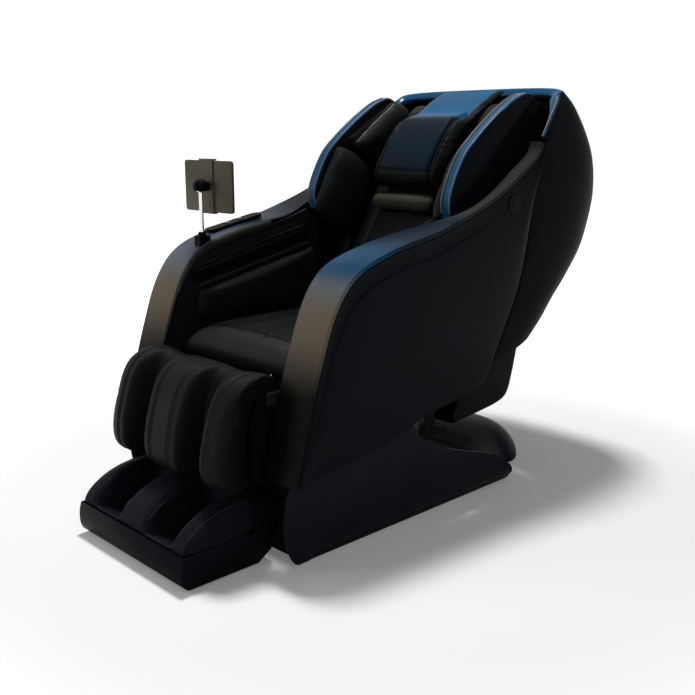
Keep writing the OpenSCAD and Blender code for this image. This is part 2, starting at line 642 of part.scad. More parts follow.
// ---- Head pillow, hung over the top of the back rest by its flap ----
pillow_half = 132;
module head_pillow() {
    face = spline([[-196, 480], [-214, 500], [-219, 560], [-214, 630], [-200, 690], [-182, 714],
        [-144, 750], [-104, 812], [-50, 890]], 2);
    back = spline([[-146, 488], [-144, 510], [-143, 560], [-142, 630], [-141, 672], [-140, 694],
        [-134, 738], [-98, 802], [-44, 884]], 2);
    columns = [-1, -0.97, -0.9, -0.7, -0.35, 0, 0.35, 0.7, 0.9, 0.97, 1];
    color(gloss) reclined() across(pillow_half, columns, face, back, function(u, t)
        0.7 + 0.3 * pow(1 - pow(abs(u), 6), 0.5));
}
module neck_roll() color(leather) reclined() {
    translate([0, -167, 436]) rotate([0, 90, 0]) rotate_extrude()
        polygon(concat([[0, -120]], [for (z = [-120 : 12 : 120])
            [25 * pow(1 - pow(abs(z) / 125, 6), 0.5), z]], [[0, 120]]));
    // Strap that joins the roll to the pillow
    translate([-90, -152, 446]) cube([180, 5, 38]);
}

// ---- Massage carriage on the back's guide rods ----
carriage_up = 130;
roller_behind = -31;
module massage_carriage() color(steel) reclined() {
    difference() {
        union() {
            translate([-118, guide_behind - 16, carriage_up + 4]) cube([236, 32, 82]);
            // Arms that carry the upper and lower rollers
            for (side = [-1, 1], dir = [-1, 1])
                hull() {
                    x_rod(9, side * 40 - 4, side * 40 + 4,
                        [guide_behind - 12, carriage_up + 45 + 24 * dir]);
                    x_rod(9, side * 40 - 4, side * 40 + 4,
                        [roller_behind, carriage_up + 45 + 66 * dir]);
                }
            for (dir = [-1, 1])
                x_rod(5, -84, 84, [roller_behind, carriage_up + 45 + 66 * dir]);
        }
        for (x = [-guide_x, guide_x]) translate([x, guide_behind, 0])
            cylinder(h = 400, r = guide_r + running_gap);
        translate([0, guide_behind, 0]) cylinder(h = 400, r = screw_r + running_gap);
    }
}
module rollers(dir) color(taupe) reclined()
    for (side = [-1, 1])
        translate([side > 0 ? 46 : -82, roller_behind, carriage_up + 45 + 66 * dir])
            rotate([0, 90, 0]) rotate_extrude()
                polygon([[5 + running_gap, 0], [14, 0], [21, 6], [23, 18], [21, 30], [14, 36],
                    [5 + running_gap, 36]]);

// ---- Leg rest ----
leg_columns = [-1, -0.97, -0.88, -0.72, -0.66, -0.6, -0.48, -0.38, -0.33, -0.26, -0.12,
    0.12, 0.26, 0.33, 0.38, 0.48, 0.6, 0.66, 0.72, 0.88, 0.97, 1];
slide_x = 150;
slide_y = -50;
module leg_frame() color(steel) home() {
    difference() {
        union() {
            for (side = [-1, 1]) {
                plate(side > 0 ? 222 : -228, 6, [[-38, 416], [-38, 436], [-26, 444], [-12, 442],
                    [-2, 430], [-4, 240], [-30, 240]]);
                // Sleeve for the foot unit's slide
                translate([side * slide_x, slide_y, 240]) cylinder(h = 90, r = 13);
            }
            x_tube(-228, 228, -34, 250, 22, 2);
            for (x = [-slide_x - 6, slide_x - 6]) translate([x, -44, 250]) cube([12, 14, 22]);
            // Ears for the leg actuator, without their pin
            for (x = [-106, -80]) plate(x, 6, [[-50, 311], [-50, 339], [-24, 339], [-12, 256],
                [-34, 256]]);
        }
        for (x = [-slide_x, slide_x]) translate([x, slide_y, 200])
            cylinder(h = 200, r = 9 + running_gap);
    }
    x_rod(10, -knee_plate_x - 7, knee_plate_x + 7, knee_at);
}
leg_side = [[-72, 216], [0, 216], [0, 420], [-8, 436], [-26, 443], [-52, 434], [-62, 410],
    [-72, 376]];
module leg_shell() color(rubber) home() difference() {
    plate(-leg_half + 4, 2 * leg_half - 8, leg_side);
    translate([-leg_half + 8, -68, 210]) cube([2 * leg_half - 16, 90, 300]);
    x_rod(10 + running_gap, -300, 300, knee_at);
}
calf_ridge = spline([[-76, 209], [-140, 209], [-174, 232], [-181, 282], [-168, 350],
    [-142, 424], [-112, 463], [-70, 482], [-24, 483], [10, 467], [22, 434]], 2);
calf_back = spline([[-74, 222], [-80, 228], [-84, 240], [-84, 284], [-82, 340], [-76, 380],
    [-68, 412], [-54, 438], [-24, 448], [0, 440], [9, 426]], 2);
module calf_pad() color(leather) home()
    across(leg_half, leg_columns, calf_ridge, calf_back, function(u, t) let (
            x = abs(u) * leg_half,
            channel = smooth(68, 92, x) * (1 - smooth(148, 172, x)),
            length_fade = smooth(0, 0.1, t) * (1 - smooth(0.62, 0.86, t)))
        0.86 + 0.14 * pow(1 - pow(abs(u), 8), 0.5) - 0.66 * channel * length_fade
            - 0.12 * channel);

module leg_motor() color(steel) home() aimed(-90, leg_motor_at, leg_eye_at) actuator_body(190);
module leg_rod() color(bright) home() aimed(-90, leg_motor_at, leg_eye_at)
    actuator_rod(54, norm(leg_eye_at - leg_motor_at));
module recline_motor() color(steel) home() aimed(0, recline_motor_at, recline_eye_at)
    actuator_body(190);
module recline_rod() color(bright) home() aimed(0, recline_motor_at, recline_eye_at)
    actuator_rod(120, norm(recline_eye_at - recline_motor_at));

// ---- Foot unit ----
foot_half = 240;
foot_wall = 4;
foot_front = [[-270, 6], [-281, 14], [-288, 30], [-290, 50], [-288, 72], [-283, 90]];
foot_roller_at = [-150, 21];
module foot_shell() color(navy) home() {
    difference() {
        union() {
            plate(-foot_half, 2 * foot_half, concat(foot_front,
                [[-62, 90], [-62, 172], [-56, 178], [-26, 178], [-20, 172], [-20, 32], [-62, 6]]));
            for (x = [-slide_x, slide_x])
                translate([x, slide_y, 10]) cylinder(h = 392, r = 9);
        }
        // Hollow for the pad and the rollers, between the posts' feet and the front
        translate([-foot_half + foot_wall, 0, 0]) rotate([90, 0, 90])
            linear_extrude(2 * (foot_half - foot_wall)) polygon(concat(
                [[-268, 10], [-278, 18], [-284, 31], [-286, 50], [-284, 72], [-280, 95]],
                [[-70, 95], [-70, 10]]));
        x_rod(4 + running_gap, -foot_half - 1, foot_half + 1, foot_roller_at);
    }
}
foot_face = spline([[-277, 86], [-280, 101], [-260, 131], [-216, 161], [-170, 178], [-124, 186],
    [-88, 187], [-71, 180], [-64, 158], [-64, 110]], 2);
foot_under = spline([[-274, 84], [-271, 86], [-256, 70], [-214, 46], [-170, 38], [-128, 37],
    [-92, 44], [-80, 66], [-75, 88], [-68, 96]], 2);
module foot_pad() {
    columns = [-1, -0.97, -0.9, -0.82, -0.77, -0.73, -0.68, -0.5, -0.33, -0.28, -0.24, -0.19,
        0.19, 0.24, 0.28, 0.33, 0.5, 0.68, 0.73, 0.77, 0.82, 0.9, 0.97, 1];
    color(leather) home() across(foot_half - foot_wall - 1, columns, foot_face, foot_under,
        function(u, t) let (
                x = abs(u) * foot_half,
                well = smooth(48, 70, x) * (1 - smooth(172, 194, x)),
                fade = smooth(0.02, 0.2, t) * (1 - smooth(0.58, 0.78, t)))
            0.9 + 0.1 * pow(1 - pow(abs(u), 8), 0.5) - 0.84 * well * fade);
}
module foot_roller() color(taupe) home() translate([0, foot_roller_at[0], foot_roller_at[1]])
    rotate([0, 90, 0]) {
        translate([0, 0, -foot_half - 0.5]) cylinder(h = 2 * foot_half + 1, r = 4);
        for (side = [-1, 1], i = [0 : 2])
            translate([0, 0, side * 122 - 42 + 30 * i]) cylinder(h = 24, r = 9);
    }

base_frame();
base_cover(1);  // base_cover_right
base_cover(-1);  // base_cover_left
base_rear_cover();
base_feet();
base_front_cover();
wheel(1);  // wheel_right
wheel(-1);  // wheel_left
power_box();
power_switch();
air_pump();
tilt_shaft();
tilt_motor();
tilt_rod();
seat_frame();
seat_pan();
seat_cushion();
side_panel(1);  // side_panel_right
side_panel(-1);  // side_panel_left
arm_band(1);  // arm_band_right
arm_band(-1);  // arm_band_left
arm_liner(1);  // arm_liner_right
arm_liner(-1);  // arm_liner_left
arm_pad(1);  // arm_pad_right
arm_pad(-1);  // arm_pad_left
hip_shaft();
control_pod();
pod_key(-24);  // key_front
pod_key(24);  // key_rear
recline_motor();
recline_rod();
holder_bracket();
holder_pole();
holder_ball();
tablet_cradle();
tablet();
back_frame();
back_shell();
lower_back_shell();
back_trim();
back_cushion();
wing(1);  // wing_right
wing(-1);  // wing_left
upper_pad(1);  // upper_pad_right
upper_pad(-1);  // upper_pad_left
lower_pad(1);  // lower_pad_right
lower_pad(-1);  // lower_pad_left
head_pillow();
neck_roll();
massage_carriage();
rollers(1);  // rollers_upper
rollers(-1);  // rollers_lower
leg_frame();
leg_shell();
calf_pad();
leg_motor();
leg_rod();
foot_shell();
foot_pad();
foot_roller();
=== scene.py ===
"""Massage chair: covers, bands, cushions, seams and finishes around the chair's frame."""

import math

import bmesh
import bpy
import numpy as np
from mathutils import Matrix, Vector
from mathutils.bvhtree import BVHTree
from mathutils.kdtree import KDTree


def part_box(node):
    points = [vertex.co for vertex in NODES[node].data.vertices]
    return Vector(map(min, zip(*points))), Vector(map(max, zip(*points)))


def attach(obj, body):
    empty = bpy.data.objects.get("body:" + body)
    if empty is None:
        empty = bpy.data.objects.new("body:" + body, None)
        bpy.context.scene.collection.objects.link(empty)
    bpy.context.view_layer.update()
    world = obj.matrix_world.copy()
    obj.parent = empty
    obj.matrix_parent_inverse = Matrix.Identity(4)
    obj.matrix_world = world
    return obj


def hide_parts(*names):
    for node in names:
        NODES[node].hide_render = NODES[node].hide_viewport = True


bl_info = {
    "name": "Massage Chair",
    "version": (1, 0, 0),
    "blender": (4, 5, 0),
    "location": "View3D > Sidebar > Chair",
    "description": "Builds the covers, cushions and finishes of a reclining massage chair",
    "category": "Object",
}

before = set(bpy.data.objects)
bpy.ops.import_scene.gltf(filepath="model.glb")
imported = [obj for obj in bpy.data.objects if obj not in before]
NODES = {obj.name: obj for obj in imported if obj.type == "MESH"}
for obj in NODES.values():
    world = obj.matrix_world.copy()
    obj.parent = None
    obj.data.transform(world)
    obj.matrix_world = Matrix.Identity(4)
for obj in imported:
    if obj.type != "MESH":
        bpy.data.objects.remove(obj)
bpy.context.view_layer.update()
MM = 0.001
FRONT_TO_MIDDLE = 526.0
HIP = (640.0, 385.0)
BACK_LEAN = math.radians(29.8)

# ---- Sizes, in millimetres ----
PANEL_X = 377
COVER_WALL = 4.3
CAP_AT = (755, 858)
CAP_R = 28
CAP_GAP = 0.6
LINER_X = 259.5
LINER_WALL = 5
TUNNEL_AT = (112, 622)
TUNNEL_SIZE = (462.0, 58.0)
TUNNEL_SLOPE = math.radians(12.3)
HOOD_WALL = 6
RIM_DEPTH = 11
WING_INNER_X = 256
SEAT_HALF = 247
BACK_HALF = 205
PILLOW_HALF = 131
BOLSTER_X = 104
PILLOW_LOW_SEAM = 514
FLAP_FROM = 716
ROLL_HALF = 120
ROLL_R = 24.6
CALF_HALF = 244
FOOT_HALF = 235
POST_AT = (150, -50)
POST_R = 8.9

# ---- Lines that the chair's curved pieces follow, in millimetres ----
ARM_OUTER = [
    (-57, 236), (-38, 320), (-4, 440), (22, 522), (52, 606), (85, 667), (125, 712), (184, 745),
    (288, 776), (400, 796), (477, 814), (600, 853), (685, 887), (773, 933), (860, 990), (878, 1026),
]
ARM_INNER_EDGE = [
    (262, -57, 236), (262, -38, 322), (262, -4, 446), (262, 26, 536), (262, 56, 616),
    (262, 90, 680), (262, 134, 726), (262, 190, 752), (262, 288, 777), (262, 400, 797),
    (270, 480, 809), (318, 600, 840), (330, 700, 884), (332, 790, 943), (332, 866, 991),
    (332, 883, 1025),
]
PANEL_LOW = [
    (-34, 232), (-10, 236), (60, 243), (114, 248), (165, 255), (213, 262), (290, 277), (362, 297),
    (421, 316), (510, 330), (589, 343), (651, 368), (706, 464), (797, 639), (852, 872), (896, 1012),
]
COVER_TOP = [
    (-36, 242), (0, 236), (114, 249), (213, 262), (320, 275), (379, 290), (420, 244), (483, 212),
    (536, 188), (640, 155), (744, 122), (796, 90), (806, 80),
]
COVER_LOW = [
    (6, 3), (30, 3), (90, 3), (180, 3), (270, 3), (350, 3), (420, 3), (490, 3), (560, 3),
    (650, 3), (760, 3), (830, 3), (862, 3),
]
REAR_STATIONS = [
    (500, 56, 302, 14), (640, 60, 302, 14), (790, 62, 300, 12), (840, 78, 280, 6),
    (890, 98, 250, 4), (950, 113, 231, 3.2), (1000, 115, 234, 3.2), (1050, 109, 214, 3.2),
    (1096, 88, 172, 3), (1130, 52, 116, 3), (1142, 14, 66, 3),
]
HOOD_FRONT = [
    (16, 30), (26, 120), (24, 210), (15, 302), (-15, 414), (-57, 520), (-92, 610), (-88, 700),
    (-72, 772), (-52, 836), (-42, 868),
]
HOOD_REAR = [
    (274, 262), (298, 320), (322, 392), (359, 470), (395, 570), (399, 664), (380, 750),
    (317, 822), (227, 870), (95, 903), (-16, 910),
]
HOOD_HALF = [368, 372, 374, 374, 374, 372, 370, 366, 356, 342, 326]
LOWER_REAR = [
    (84, -142), (165, -86), (250, -22), (280, 20), (272, 80), (254, 150), (238, 215), (230, 262),
]
LOWER_FRONT = [
    (46, -132), (34, -70), (26, -10), (26, 30), (30, 80), (40, 140), (50, 200), (56, 250),
]
WING_LEAD = [
    (-262, 352), (-292, 392), (-303, 450), (-300, 530), (-276, 600), (-246, 667), (-216, 724),
    (-186, 772), (-150, 812),
]
WING_ROOT = [
    (-30, 352), (-28, 400), (-26, 460), (-24, 530), (-22, 600), (-22, 667), (-24, 724),
    (-30, 780), (-44, 826),
]
SEAT_FACE = [
    (564, 511), (500, 524), (380, 527), (240, 526), (140, 522), (92, 512), (62, 494), (52, 474),
    (60, 452),
]
SEAT_BACK = [
    (560, 450), (500, 444), (400, 442), (320, 442), (240, 442), (180, 442), (130, 443),
    (100, 444), (74, 446),
]
BACK_FACE = [
    (-112, 62), (-134, 96), (-136, 180), (-139, 300), (-136, 420), (-134, 540), (-130, 660),
    (-107, 780), (-67, 836),
]
BACK_BACK = [
    (-56, 66), (-56, 100), (-56, 180), (-56, 300), (-56, 420), (-56, 540), (-56, 660),
    (-56, 770), (-56, 826),
]
PILLOW_FACE = [
    (-196, 480), (-214, 500), (-219, 560), (-214, 630), (-200, 690), (-182, 714), (-144, 750),
    (-104, 812), (-50, 890),
]
PILLOW_BACK = [
    (-146, 488), (-144, 510), (-143, 560), (-142, 630), (-141, 672), (-140, 694), (-134, 738),
    (-98, 802), (-44, 884),
]
CALF_RIDGE = [
    (-76, 209), (-140, 209), (-174, 232), (-181, 282), (-168, 350), (-142, 424), (-112, 463),
    (-70, 482), (-24, 483), (10, 467), (22, 434),
]
CALF_BACK = [
    (-74, 222), (-80, 228), (-84, 240), (-84, 284), (-82, 340), (-76, 380), (-68, 412),
    (-54, 438), (-24, 448), (0, 440), (9, 426),
]
FOOT_FACE = [
    (-277, 86), (-280, 101), (-260, 131), (-216, 161), (-170, 178), (-124, 186), (-88, 187),
    (-71, 180), (-64, 158), (-64, 110),
]
FOOT_UNDER = [
    (-274, 84), (-271, 86), (-256, 70), (-214, 46), (-170, 38), (-128, 37), (-92, 44), (-80, 66),
    (-75, 88), (-68, 96),
]


# ---- Numbers and curves ----
def ease(low, high, value):
    """Smooth step from 0 at low to 1 at high."""
    t = np.clip((np.asarray(value, float) - low) / (high - low), 0, 1)
    return t * t * (3 - 2 * t)


def spline(points, steps):
    """Catmull-Rom curve through the points, with so many steps from one to the next."""
    p = np.array(points, float)
    if p.ndim == 1:
        p = p[:, None]
    n = len(p)
    out = []
    for i in range(n - 1):
        a, b, c, d = p[max(i - 1, 0)], p[i], p[i + 1], p[min(i + 2, n - 1)]
        for j in range(steps):
            t = j / steps
            out.append(
                0.5 * (2 * b + (c - a) * t + (2 * a - 5 * b + 4 * c - d) * t * t
                       + (3 * b - a - 3 * c + d) * t * t * t)
            )
    out.append(p[-1])
    return np.array(out)


def inset(path, gap):
    """Path moved sideways, to the right of its direction of travel."""
    before = path[[max(i - 1, 0) for i in range(len(path))]]
    after = path[[min(i + 1, len(path) - 1) for i in range(len(path))]]
    run = after - before
    run /= np.linalg.norm(run, axis=1)[:, None]
    return path + gap * np.stack([run[:, 1], -run[:, 0]], 1)


def upright(points):
    """Points in millimetres behind the base's front corner, as metres in the chair's frame."""
    p = np.array(points, float)
    return (p - [0, FRONT_TO_MIDDLE, 0]) * MM


def leaning(points):
    """Points in the back rest's own plane, x, behind and up from the hip, in the chair's frame."""
    p = np.array(points, float)
    c, s = math.cos(BACK_LEAN), math.sin(BACK_LEAN)
    y = HIP[0] + c * p[..., 1] + s * p[..., 2]
    z = HIP[1] - s * p[..., 1] + c * p[..., 2]
    return upright(np.stack([p[..., 0], y, z], -1))


# ---- Meshes ----
def volume(verts, faces):
    """Signed volume inside the faces, times six."""
    total = 0.0
    for f in faces:
        a = verts[f[0]]
        for i in range(1, len(f) - 1):
            total += np.dot(a, np.cross(verts[f[i]], verts[f[i + 1]]))
    return total


def add_mesh(name, verts, faces):
    """A closed mesh with its faces turned outwards."""
    verts = np.array(verts, float)
    if volume(verts, faces) < 0:
        faces = [tuple(reversed(f)) for f in faces]
    mesh = bpy.data.meshes.new(name)
    mesh.from_pydata([tuple(v) for v in verts], [], [tuple(f) for f in faces])
    mesh.validate()
    mesh.update()
    piece = bpy.data.objects.new(name, mesh)
    bpy.context.scene.collection.objects.link(piece)
    return piece


def shell(name, outer, inner):
    """Closed solid between two grids of points."""
    rows, cols = outer.shape[:2]
    verts = np.concatenate([outer.reshape(-1, 3), inner.reshape(-1, 3)])

    def at(side, r, c):
        return (side * rows + r) * cols + c

    faces = []
    for r in range(rows - 1):
        for c in range(cols - 1):
            faces.append((at(0, r, c), at(0, r, c + 1), at(0, r + 1, c + 1), at(0, r + 1, c)))
            faces.append((at(1, r, c), at(1, r + 1, c), at(1, r + 1, c + 1), at(1, r, c + 1)))
    for c in range(cols - 1):
        faces.append((at(0, 0, c), at(1, 0, c), at(1, 0, c + 1), at(0, 0, c + 1)))
        r = rows - 1
        faces.append((at(0, r, c), at(0, r, c + 1), at(1, r, c + 1), at(1, r, c)))
    for r in range(rows - 1):
        faces.append((at(0, r, 0), at(0, r + 1, 0), at(1, r + 1, 0), at(1, r, 0)))
        c = cols - 1
        faces.append((at(0, r, c), at(1, r, c), at(1, r + 1, c), at(0, r + 1, c)))
    return add_mesh(name, verts, faces)


def ring_loft(name, rings):
    """Closed tube through rings of points, with flat ends."""
    rings = np.array(rings, float)
    count, n = rings.shape[:2]
    faces = []
    for r in range(count - 1):
        for i in range(n):
            j = (i + 1) % n
            faces.append((r * n + i, r * n + j, (r + 1) * n + j, (r + 1) * n + i))
    faces.append(tuple(range(n - 1, -1, -1)))
    faces.append(tuple((count - 1) * n + i for i in range(n)))
    return add_mesh(name, rings.reshape(-1, 3), faces)


def prism(name, outline, x0, x1, place=upright):
    """Solid between two planes across the chair, from a [y, z] outline."""
    o = np.array(outline, float)
    rings = [place(np.column_stack([np.full(len(o), x), o])) for x in (x0, x1)]
    return ring_loft(name, rings)


def baked(piece):
    """The piece with its modifiers applied."""
    bpy.context.view_layer.update()
    graph = bpy.context.evaluated_depsgraph_get()
    mesh = bpy.data.meshes.new_from_object(piece.evaluated_get(graph), depsgraph=graph)
    old = piece.data
    piece.modifiers.clear()
    if piece.type == "MESH":
        piece.data = mesh
        return piece
    name = piece.name
    bpy.data.objects.remove(piece)
    bpy.data.curves.remove(old)
    new = bpy.data.objects.new(name, mesh)
    bpy.context.scene.collection.objects.link(new)
    return new


def softened(piece, width, segments=3, angle=35):
    """Rounds the piece's sharp edges."""
    bevel = piece.modifiers.new("Edges", "BEVEL")
    bevel.width = width
    bevel.segments = segments
    bevel.limit_method = "ANGLE"
    bevel.angle_limit = math.radians(angle)
    bevel.harden_normals = False
    return smoothed(baked(piece), angle)


def smoothed(piece, angle=180):
    """The piece shaded smooth, but for edges sharper than the angle."""
    piece.data.polygons.foreach_set("use_smooth", [True] * len(piece.data.polygons))
    if angle < 180:
        piece.data.set_sharp_from_angle(angle=math.radians(angle))
    piece.data.update()
    return piece


def subdivided(piece):
    """The piece with its faces divided once and rounded."""
    fine = piece.modifiers.new("Fine", "SUBSURF")
    fine.levels = fine.render_levels = 1
    return smoothed(baked(piece))


def mirrored(piece, name):
    """The same piece on the chair's other side."""
    mesh = piece.data.copy()
    mesh.transform(Matrix.Scale(-1, 4, (1, 0, 0)))
    mesh.flip_normals()
    twin = bpy.data.objects.new(name, mesh)
    bpy.context.scene.collection.objects.link(twin)
    return twin


def both_sides(piece):
    """Renames the right piece and returns it with its left twin."""
    name = piece.name
    piece.name = name + "_right"
    return piece, mirrored(piece, name + "_left")


def joined(name, pieces):
    """Several pieces as one, with their materials kept."""
    verts, faces, slots, smooth, materials = [], [], [], [], []
    for piece in pieces:
        mesh = piece.data
        start = len(verts)
        verts.extend(tuple(v.co) for v in mesh.vertices)
        table = []
        for m in mesh.materials:
            if m not in materials:
                materials.append(m)
            table.append(materials.index(m))
        for p in mesh.polygons:
            faces.append(tuple(start + i for i in p.vertices))
            slots.append(table[p.material_index] if table else 0)
            smooth.append(p.use_smooth)
        bpy.data.objects.remove(piece)
    mesh = bpy.data.meshes.new(name)
    mesh.from_pydata(verts, [], faces)
    for m in materials:
        mesh.materials.append(m)
    mesh.polygons.foreach_set("material_index", slots)
    mesh.polygons.foreach_set("use_smooth", smooth)
    mesh.update()
    out = bpy.data.objects.new(name, mesh)
    bpy.context.scene.collection.objects.link(out)
    return out


def weld(piece, gap):
    """Joins points that lie closer than the gap."""
    tidy = bmesh.new()
    tidy.from_mesh(piece.data)
    bmesh.ops.remove_doubles(tidy, verts=tidy.verts, dist=gap)
    tidy.to_mesh(piece.data)
    tidy.free()


def rope(name, points, radius, material, sides=3):
    """Round piping or trim along a line of points, with closed ends."""
    curve = bpy.data.curves.new(name, "CURVE")
    curve.dimensions = "3D"
    curve.bevel_depth = radius
    curve.bevel_resolution = sides
    curve.use_fill_caps = True
    run = curve.splines.new("POLY")
    run.points.add(len(points) - 1)
    run.points.foreach_set("co", np.column_stack([points, np.ones(len(points))]).ravel())
    piece = bpy.data.objects.new(name, curve)
    bpy.context.scene.collection.objects.link(piece)
    piece = baked(piece)
    weld(piece, 1e-6)
    smoothed(piece, 60)
    dress(piece, material)
    return piece


def face_outwards(piece):
    """Turns every face of a closed piece outwards."""
    tidy = bmesh.new()
    tidy.from_mesh(piece.data)
    bmesh.ops.recalc_face_normals(tidy, faces=tidy.faces)
    tidy.to_mesh(piece.data)
    tidy.free()


def evenly(points, gap):
    """The same line with points at an even gap."""
    p = np.array(points, float)
    steps = np.linalg.norm(np.diff(p, axis=0), axis=1)
    along = np.concatenate([[0], np.cumsum(steps)])
    count = max(2, int(along[-1] / gap) + 1)
    at = np.linspace(0, along[-1], count)
    return np.column_stack([np.interp(at, along, p[:, k]) for k in range(3)])


def rounded(points, passes=2):
    """The line with its small kinks ironed out."""
    p = np.array(points, float)
    for _ in range(passes):
        p[1:-1] = 0.5 * p[1:-1] + 0.25 * (p[:-2] + p[2:])
    return p


class Surface:
    """A piece's surface, for laying seams on it."""

    def __init__(self, piece):
        mesh = piece.data
        self.tree = BVHTree.FromPolygons(
            [v.co for v in mesh.vertices], [tuple(p.vertices) for p in mesh.polygons]
        )

    def nearest(self, points, lift=0.0):
        """The surface's nearest places to the points, lifted off it."""
        out = []
        for p in points:
            place, normal, _, _ = self.tree.find_nearest(Vector(p))
            out.append(place + normal * lift)
        return np.array(out)

    def cast(self, points, direction, lift=0.0, reach=0.3):
        """Where lines through the points meet the surface from outside; misses are left out."""
        way = Vector(direction).normalized()
        out = []
        for p in points:
            place, normal, _, _ = self.tree.ray_cast(Vector(p) - way * reach, way)
            if place is not None:
                out.append(place + normal * lift)
        return np.array(out)


def channel(piece, lines, depth, width):
    """Presses a sewn channel into the piece along the lines."""
    dense = np.concatenate([evenly(line, width / 3) for line in lines])
    tree = KDTree(len(dense))
    for i, p in enumerate(dense):
        tree.insert(Vector(p), i)
    tree.balance()
    mesh = piece.data
    mesh.update()
    normals = [v.normal.copy() for v in mesh.vertices]
    for v, n in zip(mesh.vertices, normals):
        _, _, d = tree.find(v.co)
        if d < 3 * width:
            v.co -= n * depth * math.exp(-((d / width) ** 2))
    mesh.update()


def inflated(piece, voxel, limit, pressure=4.0, frames=20):
    """Puffs a cushion as stuffed cloth, and keeps each point within the limit of its place."""
    remesh = piece.modifiers.new("Weave", "REMESH")
    remesh.mode = "VOXEL"
    remesh.voxel_size = voxel * 1.0
    baked(piece)
    start = np.array([v.co for v in piece.data.vertices])
    cloth = piece.modifiers.new("Cloth", "CLOTH")
    cloth.settings.quality = 4
    cloth.settings.mass = 0.3
    cloth.settings.tension_stiffness = 12
    cloth.settings.compression_stiffness = 12
    cloth.settings.bending_stiffness = 2.0
    cloth.settings.use_pressure = True
    cloth.settings.uniform_pressure_force = pressure
    cloth.settings.effector_weights.gravity = 0
    cloth.point_cache.frame_start = 1
    cloth.point_cache.frame_end = frames
    scene = bpy.context.scene
    for frame in range(1, frames + 1):
        scene.frame_set(frame)
    graph = bpy.context.evaluated_depsgraph_get()
    mesh = bpy.data.meshes.new_from_object(piece.evaluated_get(graph), depsgraph=graph)
    moved = np.array([v.co for v in mesh.vertices])
    bpy.data.meshes.remove(mesh)
    piece.modifiers.clear()
    scene.frame_set(1)
    shift = moved - start
    size = np.linalg.norm(shift, axis=1)
    shift *= np.minimum(1, limit / np.maximum(size, 1e-9))[:, None]
    piece.data.vertices.foreach_set("co", (start + shift).ravel())
    piece.data.update()
    smooth = piece.modifiers.new("Even", "SMOOTH")
    smooth.factor = 0.5
    smooth.iterations = 4
    return smoothed(baked(piece))


def across(name, half, columns, face, back, fullness, steps, place):
    """Cushion across the chair, between a back line and a face line."""
    f, b = spline(face, steps), spline(back, steps)
    u = np.array(columns)[None, :]
    t = np.linspace(0, 1, len(f))[:, None]
    k = fullness(u, t) * np.ones((len(f), u.shape[1]))
    path = b[:, None, :] + (f - b)[:, None, :] * k[..., None]
    outer = np.concatenate([np.broadcast_to((u * half)[..., None], k.shape + (1,)), path], -1)
    inner = np.concatenate(
        [np.broadcast_to((u * half * 0.985)[..., None], k.shape + (1,)),
         np.broadcast_to(b[:, None, :], k.shape + (2,))], -1)
    return shell(name, place(outer), place(inner)), place(outer)


def pad_grid(place, crown, rim, corner, start=-1.0, tip=0.0, count=24):
    """Pad with rounded corners, crowned from start on, which moves out by tip at its top."""
    s = np.sin(np.radians(90 * (2 * np.arange(count + 1) / count - 1)))
    u, v = np.meshgrid(s, s)
    pu = u * np.sqrt(1 - corner * v * v / 2)
    pv = v * np.sqrt(1 - corner * u * u / 2)
    start = start - tip * (v + 1) / 2
    full = np.clip(2 * (u - start) / (1 - start) - 1, -1, 1)
    bulge = np.sqrt(np.maximum(0, 1 - full**4)) * np.sqrt(np.maximum(0, 1 - v**4))
    return place(pu, pv, rim + crown * bulge), place(pu * 0.97, pv * 0.97, 0 * pu)


def dress(piece, *materials):
    """Gives the piece its materials, the first one on every face."""
    piece.data.materials.clear()
    for m in materials:
        piece.data.materials.append(m)


def paint(piece, choose):
    """Gives each face the material number that choose returns for its centre and normal."""
    for p in piece.data.polygons:
        p.material_index = int(choose(p.center, p.normal))


def behind_up(point):
    """A point of the chair's frame as x, behind and up in the back rest's plane, in mm."""
    return in_back(np.array([point]) / MM + [0, FRONT_TO_MIDDLE, 0])[0]


def in_back(points):
    """Points [x, y from the front, z] turned into the back's plane [x, behind, up]."""
    c, s = math.cos(BACK_LEAN), math.sin(BACK_LEAN)
    y, z = points[:, 1] - HIP[0], points[:, 2] - HIP[1]
    return np.column_stack([points[:, 0], c * y - s * z, s * y + c * z])


def settle(piece, body, slot, *nodes, fill=None):
    """Puts a finished piece on its body, in place of the nodes it stands for."""
    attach(piece, body)
    if nodes:
        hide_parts(*nodes)
    return piece


